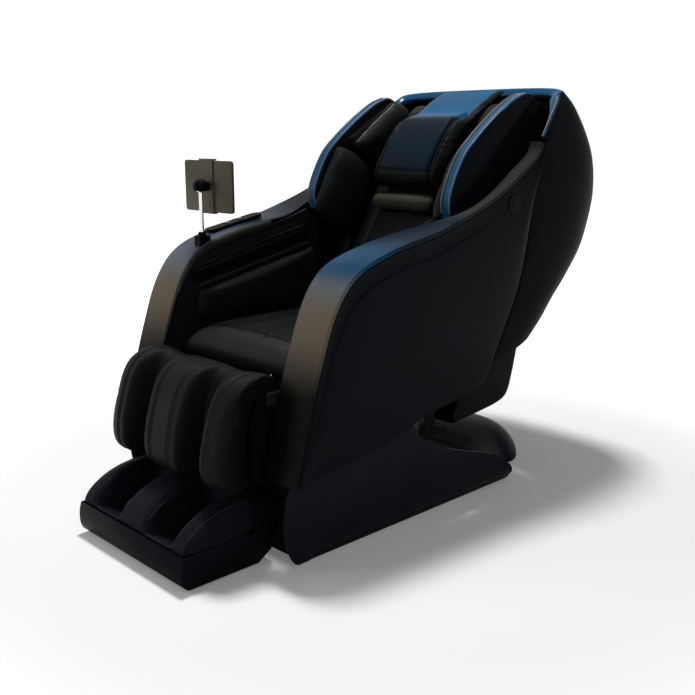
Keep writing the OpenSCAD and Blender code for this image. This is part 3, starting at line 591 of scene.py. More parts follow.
# ---- Geometry Nodes: stitches along a line ----
def stitch_tree():
    """Short threads in a row along each line of the mesh it is given."""
    name = "Stitch Row"
    if name in bpy.data.node_groups:
        return bpy.data.node_groups[name]
    tree = bpy.data.node_groups.new(name, "GeometryNodeTree")
    face = tree.interface
    face.new_socket("Geometry", in_out="INPUT", socket_type="NodeSocketGeometry")
    for label, value in (("Pitch", 0.006), ("Length", 0.0042), ("Thickness", 0.0007)):
        socket = face.new_socket(label, in_out="INPUT", socket_type="NodeSocketFloat")
        socket.subtype = "DISTANCE"
        socket.default_value = value
    face.new_socket("Material", in_out="INPUT", socket_type="NodeSocketMaterial")
    face.new_socket("Geometry", in_out="OUTPUT", socket_type="NodeSocketGeometry")
    nodes, links = tree.nodes, tree.links
    enter = nodes.new("NodeGroupInput")
    leave = nodes.new("NodeGroupOutput")
    line = nodes.new("GeometryNodeMeshToCurve")
    even = nodes.new("GeometryNodeResampleCurve")
    even.mode = "LENGTH"
    spots = nodes.new("GeometryNodeInstanceOnPoints")
    tangent = nodes.new("GeometryNodeInputTangent")
    turn = nodes.new("FunctionNodeAlignRotationToVector")
    turn.axis = "Z"
    thread = nodes.new("GeometryNodeMeshCylinder")
    thread.inputs["Vertices"].default_value = 6
    thread.inputs["Side Segments"].default_value = 1
    real = nodes.new("GeometryNodeRealizeInstances")
    paint_it = nodes.new("GeometryNodeSetMaterial")
    links.new(enter.outputs["Geometry"], line.inputs["Mesh"])
    links.new(line.outputs["Curve"], even.inputs["Curve"])
    links.new(enter.outputs["Pitch"], even.inputs["Length"])
    links.new(even.outputs["Curve"], spots.inputs["Points"])
    links.new(enter.outputs["Length"], thread.inputs["Depth"])
    links.new(enter.outputs["Thickness"], thread.inputs["Radius"])
    links.new(thread.outputs["Mesh"], spots.inputs["Instance"])
    links.new(tangent.outputs["Tangent"], turn.inputs["Vector"])
    links.new(turn.outputs["Rotation"], spots.inputs["Rotation"])
    links.new(spots.outputs["Instances"], real.inputs["Geometry"])
    links.new(real.outputs["Geometry"], paint_it.inputs["Geometry"])
    links.new(enter.outputs["Material"], paint_it.inputs["Material"])
    links.new(paint_it.outputs["Geometry"], leave.inputs["Geometry"])
    return tree


def stitches(name, lines, material):
    """Rows of thread along the lines, as one mesh."""
    verts, edges = [], []
    for line in lines:
        start = len(verts)
        verts.extend(tuple(p) for p in line)
        edges.extend((start + i, start + i + 1) for i in range(len(line) - 1))
    mesh = bpy.data.meshes.new(name)
    mesh.from_pydata(verts, edges, [])
    piece = bpy.data.objects.new(name, mesh)
    bpy.context.scene.collection.objects.link(piece)
    tree = stitch_tree()
    rows = piece.modifiers.new("Stitches", "NODES")
    rows.node_group = tree
    values = {"Pitch": 6.5 * MM, "Length": 4.5 * MM, "Thickness": 0.65 * MM,
              "Material": material}
    for socket in tree.interface.items_tree:
        if socket.in_out == "INPUT" and socket.name in values:
            rows[socket.identifier] = values[socket.name]
    return baked(piece)


# ---- Shader groups ----
class Graph:
    """Short way to add and join nodes in one tree."""

    def __init__(self, tree):
        self.tree = tree

    def add(self, kind, inputs=None, **settings):
        node = self.tree.nodes.new(kind)
        for key, value in settings.items():
            setattr(node, key, value)
        for key, value in (inputs or {}).items():
            self.feed(node.inputs[key], value)
        return node

    def feed(self, socket, value):
        if isinstance(value, bpy.types.NodeSocket):
            self.tree.links.new(value, socket)
        else:
            socket.default_value = value

    def maths(self, operation, a, b=0.0):
        return self.add("ShaderNodeMath", {0: a, 1: b}, operation=operation).outputs[0]

    def blend(self, factor, a, b):
        """Colour a at factor 0, colour b at factor 1."""
        node = self.add("ShaderNodeMix", data_type="RGBA")
        self.feed(node.inputs[0], factor)
        self.feed(node.inputs[6], a)
        self.feed(node.inputs[7], b)
        return node.outputs[2]

    def slide(self, value, low, high, start=0.0, end=1.0):
        """Smooth step of the value, from start at low to end at high."""
        node = self.add(
            "ShaderNodeMapRange",
            {"Value": value, "From Min": low, "From Max": high, "To Min": start, "To Max": end},
            interpolation_type="SMOOTHSTEP",
        )
        return node.outputs[0]


def shader_group(name, inputs, outputs, build):
    """A shader node group, built once."""
    if name in bpy.data.node_groups:
        return bpy.data.node_groups[name]
    tree = bpy.data.node_groups.new(name, "ShaderNodeTree")
    for label, kind, value in inputs:
        socket = tree.interface.new_socket(label, in_out="INPUT", socket_type=kind)
        if value is not None:
            socket.default_value = value
    for label, kind in outputs:
        tree.interface.new_socket(label, in_out="OUTPUT", socket_type=kind)
    graph = Graph(tree)
    enter = graph.add("NodeGroupInput")
    leave = graph.add("NodeGroupOutput")
    for label, socket in build(graph, enter.outputs).items():
        tree.links.new(socket, leave.inputs[label])
    return tree


FLOAT, VECTOR = "NodeSocketFloat", "NodeSocketVector"
DUST = (0.06, 0.06, 0.06, 1.0)


def hide_grain():
    """Pebbled leather: cells with creases between them, and slow mottling."""
    def build(g, given):
        scale, vector = given["Scale"], given["Vector"]
        warp = g.add("ShaderNodeTexNoise", {"Vector": vector, "Scale": 60.0, "Detail": 2.0})
        bent = g.add("ShaderNodeVectorMath", {0: warp.outputs["Color"]}, operation="SCALE")
        bent.inputs["Scale"].default_value = 0.004
        place = g.add("ShaderNodeVectorMath", {0: vector, 1: bent.outputs[0]}, operation="ADD")
        cells = g.add(
            "ShaderNodeTexVoronoi", {"Vector": place.outputs[0], "Scale": scale},
            feature="DISTANCE_TO_EDGE")
        bump = g.slide(cells.outputs["Distance"], 0.0, 0.28)
        slow = g.add("ShaderNodeTexNoise", {"Vector": vector, "Scale": 9.0, "Detail": 4.0})
        wrinkle = g.add("ShaderNodeTexNoise", {"Vector": vector, "Scale": 34.0, "Detail": 3.0})
        height = g.maths("ADD", bump, g.maths("MULTIPLY", wrinkle.outputs["Fac"], 0.9))
        return {"Height": height, "Crease": g.maths("SUBTRACT", 1.0, bump),
                "Mottle": slow.outputs["Fac"]}

    return shader_group(
        "Hide Grain", [("Vector", VECTOR, None), ("Scale", FLOAT, 900.0)],
        [("Height", FLOAT), ("Crease", FLOAT), ("Mottle", FLOAT)], build)


def woven_cloth():
    """Plain weave on the surface's own box sides."""
    def build(g, given):
        scale = given["Scale"]
        place = g.add("ShaderNodeVectorMath", {0: given["Vector"]}, operation="SCALE")
        g.tree.links.new(scale, place.inputs["Scale"])
        axes = g.add("ShaderNodeSeparateXYZ", {0: place.outputs[0]})
        along = g.maths("SINE", g.maths("ADD", axes.outputs[1], axes.outputs[2]))
        over = g.maths("SINE", g.maths("ADD", g.maths("SUBTRACT", axes.outputs[1],
                                                      axes.outputs[2]), axes.outputs[0]))
        height = g.maths("MULTIPLY", along, over)
        fuzz = g.add("ShaderNodeTexNoise", {"Vector": given["Vector"], "Scale": 420.0})
        return {"Height": height, "Thread": g.slide(height, -0.6, 0.6),
                "Fuzz": fuzz.outputs["Fac"]}

    return shader_group(
        "Woven Cloth", [("Vector", VECTOR, None), ("Scale", FLOAT, 2600.0)],
        [("Height", FLOAT), ("Thread", FLOAT), ("Fuzz", FLOAT)], build)


def settled_dust():
    """Faint dust on what faces up, in drifts."""
    def build(g, given):
        axes = g.add("ShaderNodeSeparateXYZ", {0: given["Normal"]})
        up = g.slide(axes.outputs[2], 0.25, 1.0)
        drift = g.add("ShaderNodeTexNoise", {"Vector": given["Vector"], "Scale": 14.0,
                                             "Detail": 6.0})
        speck = g.add("ShaderNodeTexNoise", {"Vector": given["Vector"], "Scale": 700.0})
        mask = g.maths("MULTIPLY", up, g.slide(drift.outputs["Fac"], 0.35, 0.75))
        mask = g.maths("MULTIPLY", mask, g.slide(speck.outputs["Fac"], 0.35, 0.7))
        return {"Mask": g.maths("MULTIPLY", mask, given["Amount"])}

    return shader_group(
        "Settled Dust", [("Vector", VECTOR, None), ("Normal", VECTOR, None),
                         ("Amount", FLOAT, 0.3)], [("Mask", FLOAT)], build)


def rubbed_edges():
    """Where edges have been rubbed, from how pointed the surface is."""
    def build(g, given):
        chips = g.add("ShaderNodeTexNoise", {"Vector": given["Vector"], "Scale": 55.0,
                                             "Detail": 5.0})
        edge = g.slide(given["Pointed"], 0.58, 0.72)
        return {"Mask": g.maths("MULTIPLY", edge, g.slide(chips.outputs["Fac"], 0.38, 0.62))}

    return shader_group(
        "Rubbed Edges", [("Vector", VECTOR, None), ("Pointed", FLOAT, 0.5)],
        [("Mask", FLOAT)], build)


def moulded_skin():
    """Fine spark grain of a moulded plastic part, with slow sink marks."""
    def build(g, given):
        fine = g.add("ShaderNodeTexNoise", {"Vector": given["Vector"], "Scale": given["Scale"],
                                            "Detail": 3.0})
        slow = g.add("ShaderNodeTexNoise", {"Vector": given["Vector"], "Scale": 5.0,
                                            "Detail": 2.0})
        return {"Height": fine.outputs["Fac"], "Slow": slow.outputs["Fac"]}

    return shader_group(
        "Moulded Skin", [("Vector", VECTOR, None), ("Scale", FLOAT, 1400.0)],
        [("Height", FLOAT), ("Slow", FLOAT)], build)


# ---- Materials ----
def new_material(name):
    """A node material, with its graph, shader, object coordinates and surface data."""
    material = bpy.data.materials.new(name)
    material.use_nodes = True
    graph = Graph(material.node_tree)
    shader = material.node_tree.nodes["Principled BSDF"]
    place = graph.add("ShaderNodeTexCoord").outputs["Object"]
    surface = graph.add("ShaderNodeNewGeometry")
    return material, graph, shader, place, surface


def use_group(graph, tree, **inputs):
    """Adds a shader group to the graph and returns its outputs."""
    node = graph.add("ShaderNodeGroup")
    node.node_tree = tree
    for key, value in inputs.items():
        graph.feed(node.inputs[key], value)
    return node.outputs


def raise_bumps(graph, shader, height, strength, distance):
    """Feeds the height to the shader as bumps."""
    bump = graph.add("ShaderNodeBump", {"Height": height, "Strength": strength,
                                        "Distance": distance})
    graph.tree.links.new(bump.outputs["Normal"], shader.inputs["Normal"])


def rgba(colour):
    """The colour with full opacity."""
    return (*colour[:3], 1.0)


def scaled(colour, k):
    """The colour k times as bright, with full opacity."""
    return rgba([min(1.0, c * k) for c in colour])


def leather(name, colour, gloss=0.42, grain=900.0, depth=0.00022, specular=0.06, light=None):
    """Synthetic leather with pebbled grain, dyed lighter where the piece's tint says so."""
    material, g, shader, place, surface = new_material(name)
    cells = use_group(g, hide_grain(), Vector=place, Scale=grain)
    base = g.blend(g.slide(cells["Mottle"], 0.3, 0.7), scaled(colour, 0.8), scaled(colour, 1.22))
    # Real dye on the pillow and foot pad; painted sheen on the seat's front roll and the calf
    # ridges.
    if light is not None:
        dye = g.add("ShaderNodeAttribute", attribute_name="tint").outputs["Fac"]
        pale = g.blend(cells["Mottle"], scaled(light, 0.8), scaled(light, 1.2))
        base = g.blend(dye, base, pale)
    base = g.blend(g.maths("MULTIPLY", cells["Crease"], 0.5), base, scaled(colour, 0.45))
    dust = use_group(g, settled_dust(), Vector=place, Normal=surface.outputs["Normal"],
                     Amount=0.05)
    base = g.blend(dust["Mask"], base, DUST)
    g.feed(shader.inputs["Base Color"], base)
    rough = g.slide(cells["Mottle"], 0.25, 0.75, gloss - 0.05, gloss + 0.07)
    g.feed(shader.inputs["Roughness"], g.maths("ADD", rough,
                                               g.maths("MULTIPLY", cells["Crease"], 0.14)))
    shader.inputs["Specular IOR Level"].default_value = specular
    raise_bumps(g, shader, cells["Height"], 0.55, depth)
    return material


def plastic(name, colour, gloss, specular, depth=0.00004, edge=(0.02, 0.022, 0.028),
            dust=0.06):
    """Moulded plastic with fine grain, rubbed edges and a little dust."""
    material, g, shader, place, surface = new_material(name)
    skin = use_group(g, moulded_skin(), Vector=place, Scale=1400.0)
    worn = use_group(g, rubbed_edges(), Vector=place, Pointed=surface.outputs["Pointiness"])
    dirt = use_group(g, settled_dust(), Vector=place, Normal=surface.outputs["Normal"],
                     Amount=dust)
    base = g.blend(g.slide(skin["Slow"], 0.3, 0.7), scaled(colour, 0.88), scaled(colour, 1.12))
    base = g.blend(g.maths("MULTIPLY", worn["Mask"], 0.4), base, rgba(edge))
    base = g.blend(dirt["Mask"], base, DUST)
    g.feed(shader.inputs["Base Color"], base)
    rough = g.slide(skin["Slow"], 0.2, 0.8, gloss - 0.03, gloss + 0.05)
    g.feed(shader.inputs["Roughness"], g.maths("ADD", rough,
                                               g.maths("MULTIPLY", dirt["Mask"], 0.4)))
    shader.inputs["Specular IOR Level"].default_value = specular
    raise_bumps(g, shader, skin["Height"], 0.4, depth)
    return material


def band_finish(name, front, bend, rear):
    """Satin band whose pearl colour runs from the front, over the bend, to the woven rear."""
    material, g, shader, place, _ = new_material(name)
    aside, behind, height = g.add("ShaderNodeSeparateXYZ", {0: place}).outputs
    skin = use_group(g, moulded_skin(), Vector=place, Scale=2200.0)
    cloth = use_group(g, woven_cloth(), Vector=place, Scale=2600.0)
    # Painted reflection: near black at the bottom, where the band mirrors the dark leg rest, rising
    # to the taupe front.
    base = g.blend(g.slide(height, 0.43, 0.60), scaled(front, 0.02), rgba(front))
    # Painted reflection: grey-blue from the top of the front onwards.
    base = g.blend(g.slide(height, 0.62, 0.71), base, (0.12, 0.135, 0.15, 1))
    # Painted reflection: the rim colour's blue over the bend, full on the right band and weaker on
    # the left.
    painted_reflection_side = g.slide(aside, -0.2, 0.2, 0.4, 1.0)
    base = g.blend(g.maths("MULTIPLY", painted_reflection_side, g.slide(height, 0.685, 0.74)), base, rgba(bend))
    # Painted reflection: darker towards the rear, before the weave.
    base = g.blend(g.slide(behind, -0.32, -0.16), base, scaled(bend, 0.16))
    at_rear = g.slide(behind, -0.03, 0.05)
    weave = g.blend(cloth["Thread"], scaled(rear, 0.6), scaled(rear, 1.25))
    base = g.blend(at_rear, base, weave)
    base = g.blend(g.maths("MULTIPLY", skin["Slow"], 0.1), base, scaled(front, 0.02))
    g.feed(shader.inputs["Base Color"], base)
    g.feed(shader.inputs["Roughness"], g.maths("ADD", 0.34, g.maths("MULTIPLY", at_rear, 0.4)))
    shader.inputs["Specular IOR Level"].default_value = 0.035
    bumps = g.maths("ADD", g.maths("MULTIPLY", skin["Height"], 0.3),
                    g.maths("MULTIPLY", g.maths("MULTIPLY", cloth["Height"], at_rear), 1.5))
    raise_bumps(g, shader, bumps, 0.4, 0.00008)
    return material


def metal(name, colour, rough=0.2, metallic=1.0, stretch=(1.0, 1.0, 1.0), specular=0.5):
    """Bright or coated metal with drawn lines and fine scratches."""
    material, g, shader, place, surface = new_material(name)
    drawn = g.add("ShaderNodeMapping", {"Vector": place, "Scale": stretch})
    lines = g.add("ShaderNodeTexNoise", {"Vector": drawn.outputs[0], "Scale": 380.0,
                                         "Detail": 5.0})
    worn = use_group(g, rubbed_edges(), Vector=place, Pointed=surface.outputs["Pointiness"])
    dirt = use_group(g, settled_dust(), Vector=place, Normal=surface.outputs["Normal"],
                     Amount=0.12)
    base = g.blend(lines.outputs["Fac"], scaled(colour, 0.85), scaled(colour, 1.1))
    base = g.blend(g.maths("MULTIPLY", worn["Mask"], 0.35), base, scaled(colour, 1.6))
    base = g.blend(dirt["Mask"], base, DUST)
    g.feed(shader.inputs["Base Color"], base)
    g.feed(shader.inputs["Roughness"], g.slide(lines.outputs["Fac"], 0.2, 0.8,
                                               max(0.03, rough - 0.05), rough + 0.08))
    shader.inputs["Metallic"].default_value = metallic
    shader.inputs["Specular IOR Level"].default_value = specular
    raise_bumps(g, shader, lines.outputs["Fac"], 0.25, 0.00003)
    return material


def mesh_cloth(name, colour, scale):
    """Dark speaker-type mesh cloth."""
    material, g, shader, place, _ = new_material(name)
    cloth = use_group(g, woven_cloth(), Vector=place, Scale=scale)
    base = g.blend(cloth["Thread"], scaled(colour, 0.4), scaled(colour, 1.3))
    base = g.blend(g.maths("MULTIPLY", cloth["Fuzz"], 0.2), base, scaled(colour, 1.8))
    g.feed(shader.inputs["Base Color"], base)
    g.feed(shader.inputs["Roughness"], g.slide(cloth["Fuzz"], 0.2, 0.8, 0.68, 0.9))
    shader.inputs["Specular IOR Level"].default_value = 0.06
    raise_bumps(g, shader, cloth["Height"], 0.7, 0.0003)
    return material


MATERIALS = {}


def finish(name):
    """The chair's finish of that name, made the first time it is asked for."""
    looks = bpy.context.scene.chair_looks
    if name not in MATERIALS:
        panel, hide = looks.panel_colour, looks.leather_colour
        pale = looks.pale_leather_and_sheen_colour
        makers = {
            "panel": lambda: plastic("Navy panel", panel, 0.36, 0.02, dust=0.03),
            "base": lambda: plastic("Base cover", scaled(panel, 1.8)[:3], 0.42, 0.03,
                                    dust=0.02),
            "hood": lambda: plastic("Hood", scaled(panel, 0.8)[:3], 0.36, 0.008,
                                    dust=0.02),
            "lining": lambda: plastic("Hood lining", (0.008, 0.008, 0.0085), 0.5, 0.06),
            "dark": lambda: plastic("Dark plastic", (0.0035, 0.0036, 0.004), 0.45, 0.02,
                                    dust=0.02),
            "rim": lambda: plastic("Blue gloss", scaled(looks.rim_colour, 1.4)[:3], 0.22, 0.1,
                                   0.00001, edge=(0.1, 0.3, 0.42)),
            # The band takes the rim colour for the painted blue reflection on its bend.
            "band": lambda: band_finish("Arm band", looks.band_colour, looks.rim_colour,
                                        (0.03, 0.031, 0.032)),
            "leather": lambda: leather("Black leather", hide, light=pale),
            # Painted light: the black leather three times lighter, standing in for light on the
            # shaded inner arms and side pads.
            "side_leather_painted_lighter": lambda: leather("Side leather", scaled(hide, 3)[:3], light=pale),
            "soft_leather": lambda: leather("Soft roll leather", pale, 0.36),
            "pillow": lambda: leather("Pillow leather", looks.pillow_colour, 0.3, 1200.0,
                                      0.0001, 0.03, light=scaled(looks.pillow_colour, 1.6)),
            "flap": lambda: leather("Flap leather", scaled(looks.rim_colour, 2)[:3], 0.3,
                                    1200.0, 0.00008, 0.03),
            "foot": lambda: leather("Foot leather", scaled(panel, 1.8)[:3], 0.4, specular=0.03,
                                    light=scaled(panel, 3)),
            "roll": lambda: leather("Neck roll leather", (0.05, 0.048, 0.037)),
            "mesh": lambda: mesh_cloth("Dark mesh", (0.005, 0.005, 0.0055), 3200.0),
            "piping": lambda: leather("Piping", (0.03, 0.03, 0.029), 0.34, 1500.0, 0.00006),
            # Pale ropes: piping on the upper shoulder pads, and painted highlights along the arm
            # bands, the hood rim and the wings.
            "pale_piping_and_highlight": lambda: leather("Pale piping", (0.2, 0.21, 0.215), 0.3, 1500.0,
                                           0.00004, 0.3),
            "thread": lambda: leather("Thread", (0.03, 0.03, 0.03), 0.6, 2600.0, 0.00005),
            "chrome": lambda: metal("Chrome", (0.72, 0.73, 0.74), 0.08),
            "shaft": lambda: metal("Polished shaft", (0.6, 0.61, 0.62), 0.2,
                                   stretch=(0.2, 1.0, 1.0)),
            "steel": lambda: metal("Coated steel", (0.012, 0.0125, 0.013), 0.42, 0.0,
                                   specular=0.15),
            "rubber": lambda: plastic("Rubber", (0.008, 0.008, 0.008), 0.7, 0.06, 0.0001,
                                      edge=(0.02, 0.02, 0.02), dust=0.2),
            "key": lambda: plastic("Key top", (0.12, 0.12, 0.12), 0.4, 0.3),
            "tablet": lambda: plastic("Tablet case", looks.tablet_colour, 0.45, 0.15,
                                      edge=(0.12, 0.1, 0.07)),
            "red": lambda: plastic("Red rocker", (0.3, 0.01, 0.01), 0.3, 0.4),
        }
        MATERIALS[name] = makers[name]()
    return MATERIALS[name]


# ---- Hard covers ----
def side_panels():
    """Tall navy side panels with a raised field below a crease, and the speaker caps."""
    top = inset(spline(ARM_OUTER, 8), 13)
    low = spline(PANEL_LOW, 8)
    length = np.linalg.norm(low - top, axis=1)
    near = np.array([0, 1.5, 5, 12, 22, 32, 40, 43.5, 44.6, 45.4, 46.5, 50, 58])
    far = np.linspace(0, 1, 26)[1:]
    i = np.arange(len(top)) / 4.0

    def grid(depth):
        rows = []
        squeeze = np.minimum(1, length / 150)
        for k in range(len(near) + len(far)):
            if k < len(near):
                d = near[k] * squeeze
            else:
                d = near[-1] * squeeze + (length - near[-1] * squeeze) * far[k - len(near)]
            t = d / length
            p = top + (low - top) * t[:, None]
            x = PANEL_X + 5 * np.sin(np.pi * t) - 14 * t * t * (1 - ease(10, 26, i))
            crease = (1 - ease(43.8, 46.2, d / squeeze)) * ease(2.5, 7, i) * (1 - ease(19, 25, i))
            x = x - 2.4 * crease * ease(0, 20, d / squeeze) - depth
            rows.append(upright(np.column_stack([x, p])))
        return np.array(rows)

    def ring(r):
        return [(CAP_AT[0] + r * math.cos(a), CAP_AT[1] + r * math.sin(a))
                for a in np.linspace(0, 2 * math.pi, 64, endpoint=False)]

    panel = softened(shell("side_panel", grid(0), grid(COVER_WALL)), 1.6 * MM, 2, 60)
    cut = prism("cut", ring(CAP_R + CAP_GAP), PANEL_X - 12, PANEL_X + 15)
    panel = smoothed(less(panel, cut), 40)
    dress(panel, finish("panel"))
    rings = [upright([(x, *p) for p in ring(r)])
             for x, r in ((373, 20), (373, CAP_R - 0.4), (379.4, CAP_R - 0.2), (380.6, 27.2),
                          (381.3, 25.6), (381.5, 22), (380.9, 20.6), (381.0, 19.6),
                          (381.8, 10), (382, 3))]
    cap = smoothed(ring_loft("speaker_cap", rings), 40)
    dress(cap, finish("panel"))
    for pair in zip(both_sides(panel), both_sides(cap), ("right", "left")):
        for piece in pair[:2]:
            settle(piece, "seat_unit", "panel_plastic", "side_panel_" + pair[2])


def less(piece, *cuts):
    """The piece with the cuts taken out of it."""
    for cut in cuts:
        tool = piece.modifiers.new("Cut", "BOOLEAN")
        tool.operation = "DIFFERENCE"
        tool.solver = "EXACT"
        tool.object = cut
    piece = baked(piece)
    for cut in cuts:
        bpy.data.objects.remove(cut)
    return piece


def arm_bands():
    """Pearl band over each arm, from the front foot up to the shoulder, with bright rims."""
    outer = spline(ARM_OUTER, 8)
    inner = spline(ARM_INNER_EDGE, 8)
    drop = inset(outer, 11) - outer

    def grid(depth):
        rows = []
        for t in np.concatenate([[0, 0.02], np.linspace(0.06, 0.94, 12), [0.98, 1]]):
            out = np.column_stack([np.full(len(outer), float(PANEL_X)), outer])
            p = inner + (out - inner) * t
            side = np.column_stack([np.zeros(len(outer)), drop])
            rows.append(upright(p + side * (depth - 3 * math.sin(math.pi * t) / 11)))
        return np.array(rows)

    band = softened(shell("arm_band", grid(0), grid(1)), 2.2 * MM, 3, 50)
    dress(band, finish("band"))
    # Pale rope along the band's inner edge: a painted highlight.
    edge = upright(np.column_stack([inner[:, 0] + 0.6, inner[:, 1:] + drop * 0.25]))
    rim = rope("band_rim", evenly(edge[6:-4], 0.008), 1.4 * MM, finish("pale_piping_and_highlight"))
    for pair in zip(both_sides(band), both_sides(rim), ("right", "left")):
        for piece in pair[:2]:
            settle(piece, "seat_unit", "band_plastic", "arm_band_" + pair[2])


def stadium(grow, count=20):
    """Outline of the forearm tunnel, in the arm's own plane."""
    r = TUNNEL_SIZE[1] / 2
    points = []
    for middle, start in ((TUNNEL_SIZE[0] - r, -90), (r, 90)):
        for k in range(count + 1):
            a = math.radians(start + 180 * k / count)
            points.append((middle + (r + grow) * math.cos(a), r + (r + grow) * math.sin(a)))
    p = np.array(points)
    c, s = math.cos(TUNNEL_SLOPE), math.sin(TUNNEL_SLOPE)
    return np.column_stack([TUNNEL_AT[0] + c * p[:, 0] - s * p[:, 1],
                            TUNNEL_AT[1] + s * p[:, 0] + c * p[:, 1]])


def arm_liners():
    """Padded inner arm wall with the forearm tunnel, its dark tray and its sewn flap."""
    arm = inset(spline(ARM_OUTER[:12], 6), 14)
    outline = [tuple(p) for p in arm if p[0] < 566] + [
        (578, 800), (600, 700), (604, 455), (400, 452), (60, 452), (42, 446), (42, 300),
        (30, 244), (-38, 240)]
    curve = bpy.data.curves.new("arm_liner", "CURVE")
    curve.dimensions = "2D"
    curve.fill_mode = "BOTH"
    curve.extrude = LINER_WALL / 2 * MM
    for line in (outline, stadium(0)):
        run = curve.splines.new("POLY")
        run.points.add(len(line) - 1)
        for k, p in enumerate(line):
            run.points[k].co = (p[0] * MM, p[1] * MM, 0, 1)
        run.use_cyclic_u = True
    wall = bpy.data.objects.new("arm_liner", curve)
    bpy.context.scene.collection.objects.link(wall)
    wall = baked(wall)
    wall.data.transform(Matrix(((0, 0, 1, LINER_X * MM), (1, 0, 0, -FRONT_TO_MIDDLE * MM),
                                (0, 1, 0, 0), (0, 0, 0, 1))))
    weld(wall, 1e-5)
    face_outwards(wall)
    wall = smoothed(wall, 30)
    # Painted light: leather made lighter to stand in for light on this shaded inner wall.
    dress(wall, finish("side_leather_painted_lighter"))

    def at(x, grow):
        o = stadium(grow)
        return upright(np.column_stack([np.full(len(o), x), o]))

    tray = smoothed(ring_loft("tunnel_tray", [
        at(303.5, 0.3), at(257.8, 0.3), at(256.6, 1.6), at(256.6, 3.6), at(257.8, 4.9),
        at(307, 4.9), at(308, 4)]), 40)
    dress(tray, finish("lining"))
    c, s = math.cos(TUNNEL_SLOPE), math.sin(TUNNEL_SLOPE)

    def along(x, run, rise):
        return (x, TUNNEL_AT[0] + c * run - s * rise, TUNNEL_AT[1] + s * run + c * rise)

    # Rolled lower lip, and a flap over the upper edge with two lines of piping
    lip = upright([along(255.2, run, -2) for run in np.linspace(18, 444, 60)])
    roll = rope("tunnel_lip", lip, 5 * MM, finish("soft_leather"), sides=5)
    rings = []
    for k in range(60):
        a = k / 59
        end = math.sin(math.pi * a) ** 0.35 if 0 < a < 1 else 0.0
        depth = 4 + 16 * end
        rings.append(upright([
            along(256.9 - d - 0.8 * end, 8 + 446 * a, h)
            for h, d in ((76, 0.3), (76, 1.6), (70, 3.0), (60, 3.6), (50 - depth * 0.3, 3.8),
                         (54 - depth, 3.4), (52.5 - depth, 2.2), (53 - depth, 0.6))]))
    flap = smoothed(ring_loft("tunnel_flap", rings), 50)
    # Painted light: leather made lighter to stand in for light on the shaded flap.
    dress(flap, finish("side_leather_painted_lighter"))
    skin = Surface(flap)
    lines = [skin.nearest(upright([along(252.8, run, h) for run in np.linspace(20, 442, 80)]),
                          0.5 * MM) for h in (58, 42)]
    cords = [rope("c", line, 1.3 * MM, finish("piping")) for line in lines]
    trim = smoothed(joined("tunnel_piping", cords))
    # Soft border between the band and the tunnel
    run = spline([p[1:] for p in ARM_INNER_EDGE[4:10]], 10)
    rows = []
    for t in np.linspace(0, 1, 13):
        p = inset(run, (3 + (10 + 16 * ease(0, 30, np.arange(len(run)))) * t)[:, None])
        rows.append(upright(np.column_stack([
            np.full(len(run), 257.4 - 5 * math.sin(math.pi * t) ** 0.6), p])))
    outer = np.array(rows)
    border = smoothed(shell("arm_border", outer, outer * [0, 1, 1] + [0.259, 0, 0]), 60)
    dress(border, finish("soft_leather"))
    for piece in (wall, tray, roll, flap, trim, border):
        for each, side in zip(both_sides(piece), ("right", "left")):
            settle(each, "seat_unit", "leather", "arm_liner_" + side)


def base_covers():
    """Low side covers of the base, with a recessed rail along the floor."""
    top, low = spline(COVER_TOP, 8), spline(COVER_LOW, 8)
    i = np.arange(len(top)) / 4.0

    def grid(depth):
        rows = []
        for t in np.linspace(0, 1, 49):
            p = top + (low - top) * t
            nose = math.sin(math.pi * t) ** 0.6 * (18 * ease(20, 24, i) - 46 * (1 - ease(0, 8, i)))
            x = 352 + (314 - 352) * t**1.25 + 5 * math.sin(math.pi * t) - depth
            y = p[:, 0] + nose
            x = x - 3 * (1 - ease(24, 28, p[:, 1])) * ease(30, 60, y)
            rows.append(upright(np.column_stack([x, y, p[:, 1]])))
        return np.array(rows)

    cover = softened(shell("base_cover", grid(0), grid(COVER_WALL)), 1.6 * MM, 2, 60)
    dress(cover, finish("base"))
    for piece, side in zip(both_sides(cover), ("right", "left")):
        settle(piece, "base", "base_plastic", "base_cover_" + side)


def base_rear():
    """Low deck and the rounded tongue behind it, cut out round the power inlet."""
    stations = spline(REAR_STATIONS, 8)
    u = np.concatenate([[-1, -0.995], np.sin(np.linspace(-1, 1, 45) * math.pi / 2) * 0.985,
                        [0.995, 1]])

    def arch(shrink):
        rows = []
        for y, crown, half, square in stations:
            z = 4 + (crown - 4 - shrink) * np.maximum(0, 1 - np.abs(u) ** square) ** 0.55
            rows.append(upright(np.column_stack([(half - shrink) * u,
                                                 np.full(len(u), y - shrink * 0.6), z])))
        return np.array(rows)

    cover = shell("base_rear_cover", arch(0), arch(5))
    low, high = (-139, 1009, 11), (-47, 1133, 59)
    box = prism("cut", [(low[1], low[2]), (high[1], low[2]), (high[1], high[2]),
                        (low[1], high[2])], low[0], high[0])
    cover = smoothed(less(cover, box), 30)
    dress(cover, finish("base"))
    settle(cover, "base", "base_plastic", "base_rear_cover")


# ---- Back rest ----
def hood_line(line, level):
    """Value of one of the hood's lines at a level between its first and last point."""
    n = len(line) - 1
    i = min(int(level), n - 1)
    p = np.array(line, float)
    a, b, c, d = p[max(i - 1, 0)], p[i], p[i + 1], p[min(i + 2, n)]
    t = level - i
    return 0.5 * (2 * b + (c - a) * t + (2 * a - 5 * b + 4 * c - d) * t * t
                  + (3 * b - a - 3 * c + d) * t * t * t)


